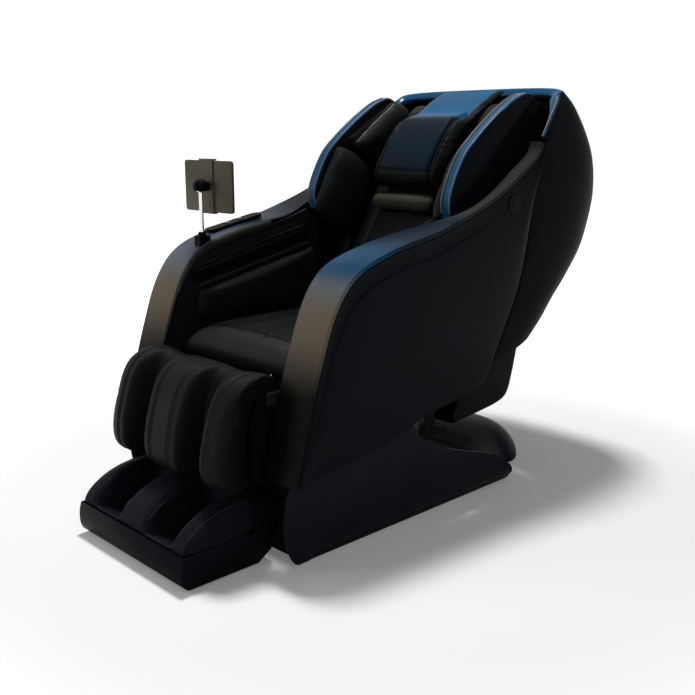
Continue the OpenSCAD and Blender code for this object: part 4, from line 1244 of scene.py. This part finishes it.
def hood_point(level, u, shrink):
    """Point of the hood at a level, from its left edge at u -1 to its right edge at 1."""
    angle = math.radians(90 * u)
    aside = math.copysign(abs(math.sin(angle)) ** 0.5, u) if u else 0.0
    depth = abs(math.cos(angle)) ** 0.5
    front, rear = hood_line(HOOD_FRONT, level), hood_line(HOOD_REAR, level)
    half = float(hood_line(HOOD_HALF, level)) - shrink
    reach = np.linalg.norm(rear - front)
    p = front + (rear - front) * depth * (1 - shrink / reach)
    return half * aside, p[0], p[1]


def hood():
    """Round hood behind the back rest, with a dark lining and the gloss rim of its opening."""
    levels = np.linspace(0, 10, 81)
    sweep = np.concatenate([[-1, -0.998, -0.992, -0.98], np.linspace(-0.96, 0.96, 65),
                            [0.98, 0.992, 0.998, 1]])
    outer = leaning([[hood_point(v, u, 0) for u in sweep] for v in levels])
    inner = leaning([[hood_point(v, u, HOOD_WALL) for u in sweep] for v in levels])
    cover = shell("hood", outer, inner)
    dress(cover, finish("hood"), finish("lining"))
    rows, cols = outer.shape[:2]
    for p in cover.data.polygons:
        if min(p.vertices) >= rows * cols:
            p.material_index = 1
    cover = softened(cover, 1.5 * MM, 2, 60)
    settle(cover, "backrest", "panel_plastic", "back_shell")
    climb = [(float(hood_line(HOOD_HALF, v)) - 8, *hood_line(HOOD_FRONT, v))
             for v in np.linspace(7, 9.5, 21)]
    over = [hood_point(10, u, 8) for u in np.concatenate([[1, 0.98, 0.94],
                                                           np.linspace(0.9, 0.06, 22)])]
    half = np.array(climb + over)
    path = rounded(np.concatenate([half, [hood_point(10, 0, 8)], (half * [-1, 1, 1])[::-1]]), 3)
    rings, edge = [], []
    for k, p in enumerate(path):
        inward = np.array([-p[0], 0, 560 - p[2]])
        inward /= np.linalg.norm(inward)
        broad = 3.5 + 12.5 * float(ease(4, 20, min(k, len(path) - 1 - k)))
        rib = []
        for a in np.linspace(0, 2 * math.pi, 24, endpoint=False):
            deep = RIM_DEPTH * math.copysign(abs(math.cos(a)) ** 0.5, math.cos(a))
            wide = broad * math.copysign(abs(math.sin(a)) ** 0.5, math.sin(a))
            rib.append(p + [0, deep, 0] + (broad - 4 + wide) * inward)
        rings.append(leaning(rib))
        edge.append(leaning([p + [0, -RIM_DEPTH, 0] - 2.2 * inward])[0])
    rim = smoothed(ring_loft("hood_rim", rings), 60)
    dress(rim, finish("rim"))
    settle(rim, "backrest", "trim_plastic", "back_trim")
    # Pale rope along the rim's front edge up each side: a painted highlight.
    line = rope("hood_line", evenly(edge[:20], 0.006), 1.6 * MM, finish("pale_piping_and_highlight"))
    for each in both_sides(line):
        settle(each, "backrest", "trim_plastic", "back_trim")


def lower_shell():
    """Dark shell that closes the foot of the back rest."""
    rear, front = spline(LOWER_REAR, 6), spline(LOWER_FRONT, 6)

    def ring(i, gap):
        run = np.linalg.norm(rear[i] - front[i]) - gap
        bend = min(40, run * 0.9)
        right = [(296 - gap, 0), (296 - gap, (run - bend) / 3), (296 - gap, (run - bend) / 1.5)]
        right += [(296 - gap - bend * (1 - math.cos(a)), run - bend * (1 - math.sin(a)))
                  for a in np.radians(np.linspace(0, 90, 10))]
        right += [(180, run), (120, run), (60, run)]
        plan = right + [(-x, d) for x, d in reversed(right)]
        way = (rear[i] - front[i]) / np.linalg.norm(rear[i] - front[i])
        return [(x, *(front[i] + way * d)) for x, d in plan]

    outer = leaning([ring(i, 0) for i in range(len(rear))])
    inner = leaning([ring(i, 5) for i in range(len(rear))])
    cover = softened(shell("lower_shell", outer, inner), 1.5 * MM, 2, 60)
    dress(cover, finish("dark"))
    settle(cover, "backrest", "dark_plastic", "lower_back_shell")


def wings():
    """Shoulder wings: a gloss leading edge between pale lines, a bulged band and a recess."""
    lead, root = spline(WING_LEAD, 8), spline(WING_ROOT, 8)
    steps = np.concatenate([[0, 0.01, 0.025, 0.045, 0.07], np.linspace(0.1, 0.3, 8),
                            [0.325, 0.34, 0.355, 0.37, 0.39, 0.42], np.linspace(0.46, 0.94, 13),
                            [0.97, 1]])

    def grid(x_of, back):
        rows = []
        for t in steps:
            p = lead + (root - lead) * t
            rows.append(leaning(np.column_stack([np.full(len(p), x_of(t)), p[:, 0] + back(t),
                                                 p[:, 1]])))
        return np.array(rows)

    def skin(t):
        band = 4 * math.sin(math.pi * min(1, t / 0.36)) ** 0.7
        recess = 9 * float(ease(0.34, 0.42, t) * (1 - ease(0.86, 0.98, t)))
        ridge = 4 * math.exp(-(((t - 0.66) / 0.05) ** 2))
        return 290 + 16 * t**0.6 + band - recess + ridge

    outer = grid(skin, lambda t: 0)
    inner = grid(lambda t: WING_INNER_X + 2 * t, lambda t: 4 * (1 - t))
    wing = softened(shell("wing", outer, inner), 3.5 * MM, 4, 50)
    dress(wing, finish("panel"), finish("rim"), finish("mesh"))

    def choose(centre, normal):
        x, behind, up = behind_up(centre)
        far = behind - np.interp(up, lead[:, 1], lead[:, 0])
        if far < 3.5 or (up > 809 and normal.z > 0.5):
            return 1
        return 2 if x < WING_INNER_X + 6 and far < 60 else 0

    paint(wing, choose)
    parts = [wing]
    # Pale ropes along both edges of the gloss leading face: painted highlights.
    for name, x in (("wing_line_inner", 260.2), ("wing_line_outer", 287.6)):
        p = lead[3:-1]
        line = leaning(np.column_stack([np.full(len(p), x), p[:, 0] + 0.3, p[:, 1]]))
        parts.append(rope(name, evenly(line, 0.006), 1.8 * MM, finish("pale_piping_and_highlight")))
    for piece in parts:
        slot = "panel_plastic" if piece is wing else "trim_plastic"
        for each, side in zip(both_sides(piece), ("right", "left")):
            settle(each, "backrest", slot, "wing_" + side)


# ---- Cushions ----
def tint(piece, amount):
    """Stores how light the leather is dyed at each point: amount takes the points in mm."""
    mesh = piece.data
    co = np.empty(len(mesh.vertices) * 3)
    mesh.vertices.foreach_get("co", co)
    co = co.reshape(-1, 3) / MM + [0, FRONT_TO_MIDDLE, 0]
    layer = mesh.attributes.new("tint", "FLOAT", "POINT")
    layer.data.foreach_set("value", np.ascontiguousarray(amount(co), dtype=np.float32))


def columns():
    """Places across a cushion, closer together towards its sides."""
    return np.sin(np.linspace(-1, 1, 41) * math.pi / 2)


def seat():
    """Seat cushion with a rolled front and two sewn lines along it."""
    piece, _ = across(
        "seat_cushion", SEAT_HALF, columns(), SEAT_FACE, SEAT_BACK,
        lambda u, t: 0.62 + 0.38 * np.sqrt(np.maximum(0, 1 - np.abs(u) ** 4)), 4, upright)
    piece = inflated(piece, 5.5 * MM, 7 * MM)
    skin = Surface(piece)
    lines = []
    for x in (-52, 52):
        line = [(x, y, 560) for y in np.linspace(520, 118, 90)]
        lines.append(skin.cast(upright(line), (0, 0, -1)))
    cross = skin.cast(upright([(x, 136 + 5 * math.cos(x / 80), 560)
                               for x in np.linspace(-240, 240, 110)]), (0, 0, -1))
    channel(piece, lines + [cross], 7 * MM, 7 * MM)
    channel(piece, lines + [cross], 2.5 * MM, 2.4 * MM)
    piece = subdivided(piece)
    # Painted sheen: the front roll, ahead of the cross seam, is made lighter where light catches
    # it.
    tint(piece, lambda p: 0.75 * (1 - ease(120, 142, p[:, 1])))
    dress(piece, finish("leather"))
    skin = Surface(piece)
    rows = []
    for line in lines:
        for shift in (-5.5, 5.5):
            rows.append(skin.nearest(line + [shift * MM, 0, 0], 0.3 * MM))
    for shift in (-5.5, 5.5):
        rows.append(skin.nearest(cross + [0, shift * MM, 0], 0.3 * MM))
    cords = [rope("c", rounded(skin.nearest(line, -0.4 * MM), 3), 2 * MM, finish("lining"))
             for line in lines]
    settle(smoothed(joined("seat_piping", cords)), "seat_unit", "leather")
    sewn = stitches("seat_stitches", rows, finish("thread"))
    settle(piece, "seat_unit", "leather", "seat_cushion", fill=0.8)
    settle(sewn, "seat_unit", "leather")


def back_cushion():
    """Long quilted cushion over the massage rollers."""
    piece, _ = across(
        "back_cushion", BACK_HALF, columns(), BACK_FACE, BACK_BACK,
        lambda u, t: 0.5 + 0.5 * np.sqrt(np.maximum(0, 1 - np.abs(u) ** 4)), 4, leaning)
    piece = inflated(piece, 5.5 * MM, 8 * MM)
    skin = Surface(piece)
    out = leaning([(0, -1, 0)])[0] - leaning([(0, 0, 0)])[0]
    lines = []
    for x in (-119, 119):
        lines.append(skin.cast(leaning([(x, -200, up) for up in np.linspace(80, 815, 150)]), -out))
    for up in (250, 420, 590):
        lines.append(skin.cast(leaning([(x, -200, up + 9 * math.cos(x / 60))
                                        for x in np.linspace(-119, 119, 60)]), -out))
    channel(piece, lines, 8 * MM, 8 * MM)
    channel(piece, lines, 2.5 * MM, 2.4 * MM)
    piece = subdivided(piece)
    dress(piece, finish("leather"))
    settle(piece, "backrest", "leather", "back_cushion", fill=0.7)


def pillow():
    """Head pillow with side bolsters, hung on a gloss flap over the back rest."""
    def full(u, t):
        x = np.abs(u) * PILLOW_HALF
        groove = 0.2 * np.exp(-(((x - BOLSTER_X - 1) / 6) ** 2))
        return 1 - groove - 0.4 * ease(BOLSTER_X + 8, PILLOW_HALF, x) ** 1.4

    piece, _ = across("head_pillow", PILLOW_HALF, np.linspace(-1, 1, 61), PILLOW_FACE,
                      PILLOW_BACK, full, 4, leaning)
    piece = inflated(piece, 5 * MM, 7 * MM)
    skin = Surface(piece)
    ahead = leaning([(0, 1, 0)])[0] - leaning([(0, 0, 0)])[0]
    lines = []
    for x in (-BOLSTER_X, BOLSTER_X):
        lines.append(skin.cast(leaning([(x, -300, up) for up in np.linspace(486, 742, 80)]),
                               ahead))
    low = skin.cast(leaning([(x, -300, PILLOW_LOW_SEAM) for x in np.linspace(-102, 102, 70)]),
                    ahead)
    channel(piece, lines + [low], 4 * MM, 6 * MM)
    channel(piece, lines + [low], 2 * MM, 2.2 * MM)
    piece = subdivided(piece)

    def light(p):
        q = in_back(p)
        above = ease(PILLOW_LOW_SEAM - 2, PILLOW_LOW_SEAM + 6, q[:, 2])
        return (1 - ease(BOLSTER_X - 4, BOLSTER_X + 1, np.abs(q[:, 0]))) * above

    tint(piece, light)
    dress(piece, finish("pillow"), finish("flap"), finish("leather"))

    def choose(centre, normal):
        x, behind, up = behind_up(centre)
        if up > FLAP_FROM and behind < -44 and abs(x) < BOLSTER_X + 3:
            return 1
        return 2 if up < PILLOW_LOW_SEAM or abs(x) > BOLSTER_X + 2 else 0

    paint(piece, choose)
    settle(piece, "pillow", "pillow_leather", "head_pillow", fill=0.8)
    skin = Surface(piece)
    cords = [rope("c", rounded(skin.nearest(line, 0.4 * MM), 3), 1.5 * MM, finish("piping"))
             for line in lines]
    settle(smoothed(joined("pillow_piping", cords)), "pillow", "pillow_leather")


def neck_roll():
    """Small neck roll under the pillow, on its strap."""
    rings = []
    for x in np.concatenate([[-ROLL_HALF, -119.4, -117.5], np.linspace(-114, 114, 40),
                             [117.5, 119.4, ROLL_HALF]]):
        edge = min(1.0, (ROLL_HALF + 0.01 - abs(x)) / 6)
        r = ROLL_R * (1 - (abs(x) / 125) ** 6) ** 0.5 * (0.62 + 0.38 * math.sqrt(
            max(0, 1 - (1 - edge) ** 2)))
        r += 0.35 * math.sin(x / 3.1) * math.cos(x / 7.7)
        rings.append(leaning([(x, -167 + r * math.cos(a), 436 + r * math.sin(a))
                              for a in np.linspace(0, 2 * math.pi, 48, endpoint=False)]))
    roll = smoothed(ring_loft("neck_roll", rings), 60)
    dress(roll, finish("roll"))
    strap = prism("neck_strap", [(-152, 446), (-150.5, 484), (-147, 484), (-147, 446)], -90, 90,
                  leaning)
    strap = softened(strap, 0.9 * MM, 2)
    dress(strap, finish("leather"))
    settle(roll, "pillow", "leather", "neck_roll", fill=0.9)
    settle(strap, "pillow", "leather", "neck_roll")


def side_pads():
    """Shoulder pads on the wings, the gussets beside the back rest and the arm pads."""
    for name, low, high, start, tip, seams in (
            ("upper_pad", (584, -274, -120), (818, -140, -46), -0.5, 0.3, (-0.5,)),
            ("lower_pad", (326, -290, -130), (574, -296, -116), -1, 0, (-0.93, -0.8))):
        def edges(w, low=low, high=high):
            return [a + (b - a) * w for a, b in zip(low, high)]

        def place(u, v, h, edges=edges):
            up, lead, root = edges((v + 1) / 2)
            behind = lead + (root - lead) * (u + 1) / 2
            return leaning(np.stack([255.2 - h * (1 + 0.3 * u), behind, up + 0 * u], -1))

        piece = shell(name, *pad_grid(place, 36, 8, 0.4, start, tip))
        piece = inflated(piece, 4.5 * MM, 6 * MM)
        skin = Surface(piece)
        v = np.linspace(-0.86, 0.86, 70)
        lines = [skin.nearest(place(at - tip * (v + 1) / 2, v, np.full(70, 24.0)))
                 for at in seams]
        channel(piece, lines, 4 * MM, 4 * MM)
        piece = subdivided(piece)
        # Painted light: leather made lighter to stand in for light on the shaded shoulder pads.
        dress(piece, finish("side_leather_painted_lighter"), finish("mesh"))
        if start > -1:
            def choose(centre, normal, low=low, high=high, edges=edges, start=start, tip=tip):
                _, behind, up = behind_up(centre)
                w = (up - low[0]) / (high[0] - low[0])
                _, lead, root = edges(w)
                return behind < lead + (root - lead) * (start - tip * w + 1) / 2

            paint(piece, choose)
        skin = Surface(piece)
        look = finish("pale_piping_and_highlight" if start > -1 else "piping")
        cords = [rope("c", rounded(skin.nearest(line, 0.8 * MM), 3), 1.8 * MM, look)
                 for line in lines]
        cord = smoothed(joined(name + "_piping", cords))
        for each, side in zip(both_sides(piece), ("right", "left")):
            settle(each, "backrest", "leather", name + "_" + side, fill=0.8)
        for each in both_sides(cord):
            settle(each, "backrest", "leather")
    sheet = joined("back_gusset", [
        prism("c", [(-40, 70), (-40, 560), (-36, 560), (-36, 70)], 198, 257, leaning),
        prism("c", [(-40, 130), (-40, 430), (-36, 430), (-36, 130)], 257.5, 345, leaning)])
    dress(sheet, finish("lining"))
    for each in both_sides(sheet):
        settle(each, "backrest", "leather")

    def lip(y):
        return TUNNEL_AT[1] - 6 + (y - TUNNEL_AT[0]) * math.tan(TUNNEL_SLOPE)

    def place(u, v, h):
        y = 350 + 236 * u
        z = 524 + (lip(y) - 4 - 524) * (v + 1) / 2
        return upright(np.stack([256.4 - h, y, z], -1))

    piece = shell("arm_pad", *pad_grid(place, 17, 8, 0.2))
    piece = subdivided(inflated(piece, 4.5 * MM, 5 * MM))
    # Painted light: leather made lighter to stand in for light on the shaded arm pad.
    dress(piece, finish("side_leather_painted_lighter"))
    for each, side in zip(both_sides(piece), ("right", "left")):
        settle(each, "seat_unit", "leather", "arm_pad_" + side, fill=0.7)


# ---- Leg rest ----
def calf():
    """Calf pad: a middle ridge, two channels for the calves and two outer ridges."""
    def full(u, t):
        x = np.abs(u) * (CALF_HALF + 1)
        trough = ease(68, 92, x) * (1 - ease(148, 172, x))
        fade = ease(0, 0.1, t) * (1 - ease(0.62, 0.86, t))
        return (0.86 + 0.14 * np.sqrt(np.maximum(0, 1 - np.abs(u) ** 8))
                - 0.66 * trough * fade - 0.12 * trough)

    piece, grid = across("calf_pad", CALF_HALF, np.linspace(-1, 1, 101), CALF_RIDGE, CALF_BACK,
                         full, 4, upright)
    piece = inflated(piece, 5 * MM, 5 * MM)
    skin = Surface(piece)
    lines = []
    for x in (-196, -40, 40, 196):
        c = int(round((x / CALF_HALF + 1) / 2 * (grid.shape[1] - 1)))
        lines.append(skin.nearest(evenly(grid[2:-6, c], 0.006)))
    channel(piece, lines, 4 * MM, 5 * MM)
    channel(piece, lines, 1.5 * MM, 2 * MM)
    piece = subdivided(piece)

    # Painted highlight: lighter front bands on the ridges, beside their seams.
    def light(p):
        x = np.abs(p[:, 0])
        front = ease(40, 43, x) * (1 - ease(66, 74, x)) + ease(172, 180, x) * (
            1 - ease(193, 196, x))
        return 0.05 * front * (1 - ease(-60, -20, p[:, 1]))

    tint(piece, light)
    dress(piece, finish("leather"))
    skin = Surface(piece)
    cords = [rope("c", rounded(skin.nearest(line, 0.5 * MM), 2), 1.4 * MM, finish("piping"))
             for line in lines]
    trim = smoothed(joined("calf_piping", cords))
    rows = []
    for line in lines:
        side = 1 if line[0][0] > 0 else -1
        for shift in (7, 11):
            rows.append(skin.nearest(line + [side * shift * MM, 0, 0], 0.3 * MM))
    sewn = stitches("calf_stitches", rows, finish("thread"))
    settle(piece, "legrest", "leather", "calf_pad", fill=0.75)
    settle(trim, "legrest", "leather")
    settle(sewn, "legrest", "leather")


def foot_rest():
    """Foot unit's pad with two wells, and the shell under it."""
    def full(u, t):
        x = np.abs(u) * (FOOT_HALF + 5)
        well = ease(48, 70, x) * (1 - ease(172, 194, x))
        fade = ease(0.02, 0.2, t) * (1 - ease(0.58, 0.78, t))
        return (0.9 + 0.1 * np.sqrt(np.maximum(0, 1 - np.abs(u) ** 8))
                - 0.84 * well * fade)

    piece, _ = across("foot_pad", FOOT_HALF, np.linspace(-1, 1, 111), FOOT_FACE, FOOT_UNDER,
                      full, 4, upright)
    piece = subdivided(inflated(piece, 4 * MM, 3.5 * MM))

    def light(p):
        x = np.abs(p[:, 0])
        return 0.8 * ease(52, 66, x) * (1 - ease(176, 190, x)) * (1 - ease(150, 165, p[:, 2]))

    tint(piece, light)
    dress(piece, finish("foot"))
    settle(piece, "foot_unit", "leather", "foot_pad", fill=0.6)
    skin = Surface(piece)
    cords = []
    for x in (54, 190, 226):
        for side in (-1, 1):
            line = skin.cast(upright([(side * x, y, 300) for y in np.linspace(-258, -84, 60)]),
                             (0, 0, -1))
            cords.append(rope("c", rounded(line, 3), 1.5 * MM, finish("piping")))
    settle(smoothed(joined("foot_piping", cords)), "foot_unit", "leather")
    foot_shell()


def foot_shell():
    """Foot unit's navy shell, with its roller's bore and the two posts it slides on."""
    front = [(-270, 6), (-281, 14), (-288, 30), (-290, 50), (-288, 72), (-283, 90)]
    outline = [tuple(p) for p in spline(front, 4)] + [
        (-62, 90), (-62, 172), (-56, 178), (-26, 178), (-20, 172), (-20, 32), (-62, 6)]
    body = prism("foot_shell", outline, -240, 240)
    hollow = prism("cut", [(-268, 10), (-278, 18), (-284, 31), (-286, 50), (-284, 72),
                           (-280, 95), (-70, 95), (-70, 10)], -236, 236)
    bore = prism("cut2", [(-150 + 4.4 * math.cos(a), 21 + 4.4 * math.sin(a))
                          for a in np.linspace(0, 2 * math.pi, 24, endpoint=False)], -250, 250)
    body = softened(less(body, hollow, bore), 1.4 * MM, 2)
    dress(body, finish("panel"))
    posts = []
    for x in (-POST_AT[0], POST_AT[0]):
        rings = [upright([(x + r * math.cos(a), POST_AT[1] + r * math.sin(a), z)
                          for a in np.linspace(0, 2 * math.pi, 32, endpoint=False)])
                 for z, r in ((100, POST_R), (400.5, POST_R), (402, POST_R - 1.3))]
        post = smoothed(ring_loft("post", rings), 40)
        dress(post, finish("shaft"))
        posts.append(post)
    body = joined("foot_shell_body", [body, *posts])
    body.data.set_sharp_from_angle(angle=math.radians(40))
    settle(body, "foot_unit", "panel_plastic", "foot_shell")


# ---- Finishes of the nodes that keep their own shape ----
KEPT = {
    "steel": ("base_frame", "seat_frame", "back_frame", "leg_frame", "air_pump",
              "massage_carriage"),
    "dark": ("seat_pan", "leg_shell", "base_front_cover", "power_box", "tilt_motor",
             "recline_motor", "leg_motor", "control_pod", "holder_bracket", "holder_ball"),
    "rubber": ("base_feet", "wheel_right", "wheel_left", "rollers_upper", "rollers_lower",
               "foot_roller"),
    "shaft": ("tilt_shaft", "hip_shaft", "tilt_rod", "recline_rod", "leg_rod"),
    "key": ("key_front", "key_rear"), "chrome": ("holder_pole",), "tablet": ("tablet_cradle",),
    "red": ("power_switch",),
}


def kept_nodes():
    """Gives the nodes that keep their own shape their finishes."""
    for look, names in KEPT.items():
        for name in names:
            node = NODES[name]
            if not node.material_slots:
                node.data.materials.append(finish(look))
            for slot in node.material_slots:
                slot.material = finish(look)


def tablet():
    """Tablet with rounded edges, a dark screen edge and a groove down its back."""
    low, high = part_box("tablet")
    r = 10 * MM
    rings, corner = [], []
    for cx, cz, start in ((high.x - r, high.z - r, 0), (low.x + r, high.z - r, 90),
                          (low.x + r, low.z + r, 180), (high.x - r, low.z + r, 270)):
        for k in range(7):
            a = math.radians(start + 90 * k / 6)
            corner.append((cx + r * math.cos(a), cz + r * math.sin(a), math.cos(a), math.sin(a)))
    for y, gap in ((low.y, 0.0022), (low.y + 0.0008, 0.0006), (low.y + 0.002, 0.0),
                   (high.y - 0.002, 0.0), (high.y - 0.0008, 0.0006), (high.y, 0.0022)):
        rings.append([(x - nx * gap, y, z - nz * gap) for x, z, nx, nz in corner])
    case = smoothed(ring_loft("tablet_case", rings), 50)
    dress(case, finish("tablet"), finish("dark"))
    paint(case, lambda c, n: 1 if n.y > 0.5 or c.y > low.y + 0.0062 else 0)
    settle(case, "holder_head", "tablet_shell", "tablet")


# ---- Stage ----
def seen(graph):
    """1 for what the camera sees, directly, mirrored or through a clear part."""
    path = graph.add("ShaderNodeLightPath").outputs
    through = graph.maths("MAXIMUM", path["Is Glossy Ray"], path["Is Transmission Ray"])
    return graph.maths("MAXIMUM", path["Is Camera Ray"], through)


def stage():
    """Pale floor, soft lamps and the camera."""
    scene = bpy.context.scene
    looks = scene.chair_stage
    bpy.ops.mesh.primitive_plane_add(size=60)
    floor = bpy.context.object
    floor.name = "floor"
    material = bpy.data.materials.new("Studio floor")
    material.use_nodes = True
    g = Graph(material.node_tree)
    shader = material.node_tree.nodes["Principled BSDF"]
    place = g.add("ShaderNodeTexCoord").outputs["Object"]
    patch = g.add("ShaderNodeTexNoise", {"Vector": place, "Scale": 0.8, "Detail": 2.0})
    g.feed(shader.inputs["Base Color"], g.blend(patch.outputs["Fac"], (0.88, 0.88, 0.88, 1),
                                                (0.9, 0.9, 0.9, 1)))
    shader.inputs["Roughness"].default_value = 0.9
    shader.inputs["Specular IOR Level"].default_value = 0.1
    away = g.add("ShaderNodeVectorMath", {0: place}, operation="LENGTH")
    glow = g.slide(away.outputs["Value"], 1.0, 2.4, looks.floor_glow, 1.0)
    g.feed(shader.inputs["Emission Strength"], g.maths("MULTIPLY", seen(g), glow))
    shader.inputs["Emission Color"].default_value = (1, 1, 1, 1)
    floor.data.materials.append(material)
    world = bpy.data.worlds.new("Studio") if scene.world is None else scene.world
    scene.world = world
    world.use_nodes = True
    w = Graph(world.node_tree)
    back = world.node_tree.nodes["Background"]
    white = w.add("ShaderNodeBackground", {"Color": (1, 1, 1, 1), "Strength": 1.0})
    back.inputs["Color"].default_value = (0.93, 0.96, 1.0, 1)
    back.inputs["Strength"].default_value = looks.sky
    join = w.add("ShaderNodeMixShader")
    out = world.node_tree.nodes["World Output"]
    w.tree.links.new(seen(w), join.inputs[0])
    w.tree.links.new(back.outputs[0], join.inputs[1])
    w.tree.links.new(white.outputs[0], join.inputs[2])
    w.tree.links.new(join.outputs[0], out.inputs["Surface"])
    for name, place, aim, size, power in (
            ("key_lamp", (-0.85, 0.6, 6.0), (0, 0, 0.4), 0.9, looks.key),
            ("front_lamp", (-2.4, -3.6, 2.4), (0, 0, 0.5), 2.4, looks.front),
            ("side_lamp", (3.2, -1.6, 2.6), (0, 0, 0.6), 2.2, looks.side)):
        lamp = bpy.data.lights.new(name, "AREA")
        lamp.shape = "SQUARE"
        lamp.size = size
        lamp.energy = power
        holder = bpy.data.objects.new(name, lamp)
        holder.location = place
        way = Vector(aim) - Vector(place)
        holder.rotation_euler = way.to_track_quat("-Z", "Y").to_euler()
        scene.collection.objects.link(holder)
    camera = bpy.data.cameras.new("camera")
    camera.lens = 47.71
    camera.sensor_width = 36
    camera.clip_end = 100
    holder = bpy.data.objects.new("camera", camera)
    scene.collection.objects.link(holder)
    holder.location = (1.9179, -1.8962, 1.0522)
    turn, down = math.radians(46.086), math.radians(13.149)
    view = Vector((-math.sin(turn) * math.cos(down), math.cos(turn) * math.cos(down),
                   -math.sin(down)))
    holder.rotation_euler = view.to_track_quat("-Z", "Y").to_euler()
    scene.camera = holder
    scene.view_settings.view_transform = "Standard"


# ---- Add-on ----
class ChairLooks(bpy.types.PropertyGroup):
    """Colours of the chair's finishes."""

    panel_colour: bpy.props.FloatVectorProperty(
        name="Panels", description="Side panels, hood and base covers", subtype="COLOR",
        default=(0.0042, 0.005, 0.0072), min=0, max=1)
    # Taupe front of the arm bands; their finish darkens it at the bottom as painted reflection.
    band_colour: bpy.props.FloatVectorProperty(
        name="Arm bands", description="Pearl bands over the arms", subtype="COLOR",
        default=(0.15, 0.124, 0.086), min=0, max=1)
    # Also the painted blue reflection on the bend of the arm bands.
    rim_colour: bpy.props.FloatVectorProperty(
        name="Rims", description="Gloss rims and the bend of the arm bands", subtype="COLOR",
        default=(0.0045, 0.05, 0.115), min=0, max=1)
    leather_colour: bpy.props.FloatVectorProperty(
        name="Leather", description="Seat, back and leg leather", subtype="COLOR",
        default=(0.0026, 0.003, 0.0035), min=0, max=1)
    # Pale roll leather, also the colour of the painted sheen on the seat's front roll and the calf
    # ridges.
    pale_leather_and_sheen_colour: bpy.props.FloatVectorProperty(
        name="Light leather", description="Light bands and rolls in the leather",
        subtype="COLOR", default=(0.028, 0.028, 0.026), min=0, max=1)
    pillow_colour: bpy.props.FloatVectorProperty(
        name="Pillow", description="Head pillow leather", subtype="COLOR",
        default=(0.0035, 0.0095, 0.0165), min=0, max=1)
    tablet_colour: bpy.props.FloatVectorProperty(
        name="Tablet", description="Back of the tablet's case", subtype="COLOR",
        default=(0.075, 0.061, 0.036), min=0, max=1)


class ChairStage(bpy.types.PropertyGroup):
    """Lamps and floor of the studio."""

    key: bpy.props.FloatProperty(name="Key lamp", description="Power of the lamp overhead",
                                 subtype="POWER", unit="POWER", default=270, min=0)
    front: bpy.props.FloatProperty(name="Front lamp",
                                   description="Power of the soft lamp at the front",
                                   subtype="POWER", unit="POWER", default=36, min=0)
    side: bpy.props.FloatProperty(name="Side lamp", description="Power of the lamp at the side",
                                  subtype="POWER", unit="POWER", default=8, min=0)
    sky: bpy.props.FloatProperty(name="Room light", description="Strength of the room's light",
                                 default=0.16, min=0)
    floor_glow: bpy.props.FloatProperty(name="Floor glow",
                                        description="How much the floor is lifted to white",
                                        default=0.12, min=0)


def operator(label, idname, text, work):
    """An operator class that runs one maker."""
    def execute(self, context):
        work()
        return {"FINISHED"}

    return type(
        "CHAIR_OT_" + idname, (bpy.types.Operator,),
        {"bl_idname": "chair." + idname, "bl_label": label, "__doc__": text, "execute": execute,
         "bl_options": {"REGISTER", "UNDO"}})


STEPS = [
    operator("Side panels", "side_panels", "Build the side panels and speaker caps", side_panels),
    operator("Arm bands", "arm_bands", "Build the bands over the arms", arm_bands),
    operator("Arm liners", "arm_liners", "Build the inner arms and their tunnels", arm_liners),
    operator("Base covers", "base_covers", "Build the side covers of the base", base_covers),
    operator("Base rear", "base_rear", "Build the tongue behind the base", base_rear),
    operator("Hood", "hood", "Build the hood and its rim", hood),
    operator("Lower shell", "lower_shell", "Build the shell under the hood", lower_shell),
    operator("Wings", "wings", "Build the shoulder wings", wings),
    operator("Seat", "seat", "Build the seat cushion", seat),
    operator("Back cushion", "back_cushion", "Build the back cushion", back_cushion),
    operator("Pillow", "pillow", "Build the head pillow", pillow),
    operator("Neck roll", "neck_roll", "Build the neck roll", neck_roll),
    operator("Side pads", "side_pads", "Build the shoulder and arm pads", side_pads),
    operator("Calf pad", "calf", "Build the calf pad", calf),
    operator("Foot rest", "foot_rest", "Build the foot unit's shell and pad", foot_rest),
    operator("Tablet", "tablet", "Build the tablet", tablet),
    operator("Frame finishes", "kept_nodes", "Give the frame its finishes", kept_nodes),
    operator("Stage", "stage", "Set up the floor, lamps and camera", stage),
]


class CHAIR_PT_panel(bpy.types.Panel):
    """Sidebar panel with the chair's colours and steps."""

    bl_label = "Massage Chair"
    bl_space_type = "VIEW_3D"
    bl_region_type = "UI"
    bl_category = "Chair"

    def draw(self, context):
        column = self.layout.column()
        for group in (context.scene.chair_looks, context.scene.chair_stage):
            for key in group.__annotations__:
                column.prop(group, key)
        for step in STEPS:
            column.operator(step.bl_idname)


CLASSES = [ChairLooks, ChairStage, *STEPS, CHAIR_PT_panel]


def register():
    """Adds the chair's classes and the scene's settings."""
    for each in CLASSES:
        bpy.utils.register_class(each)
    bpy.types.Scene.chair_looks = bpy.props.PointerProperty(type=ChairLooks)
    bpy.types.Scene.chair_stage = bpy.props.PointerProperty(type=ChairStage)


def unregister():
    """Takes the settings and classes out again."""
    del bpy.types.Scene.chair_stage
    del bpy.types.Scene.chair_looks
    for each in reversed(CLASSES):
        bpy.utils.unregister_class(each)


def main():
    """Builds the whole chair and writes its size beside the frame's."""
    register()
    for step in STEPS:
        getattr(bpy.ops.chair, step.bl_idname.split(".")[1])()


if __name__ == "__main__":
    main()
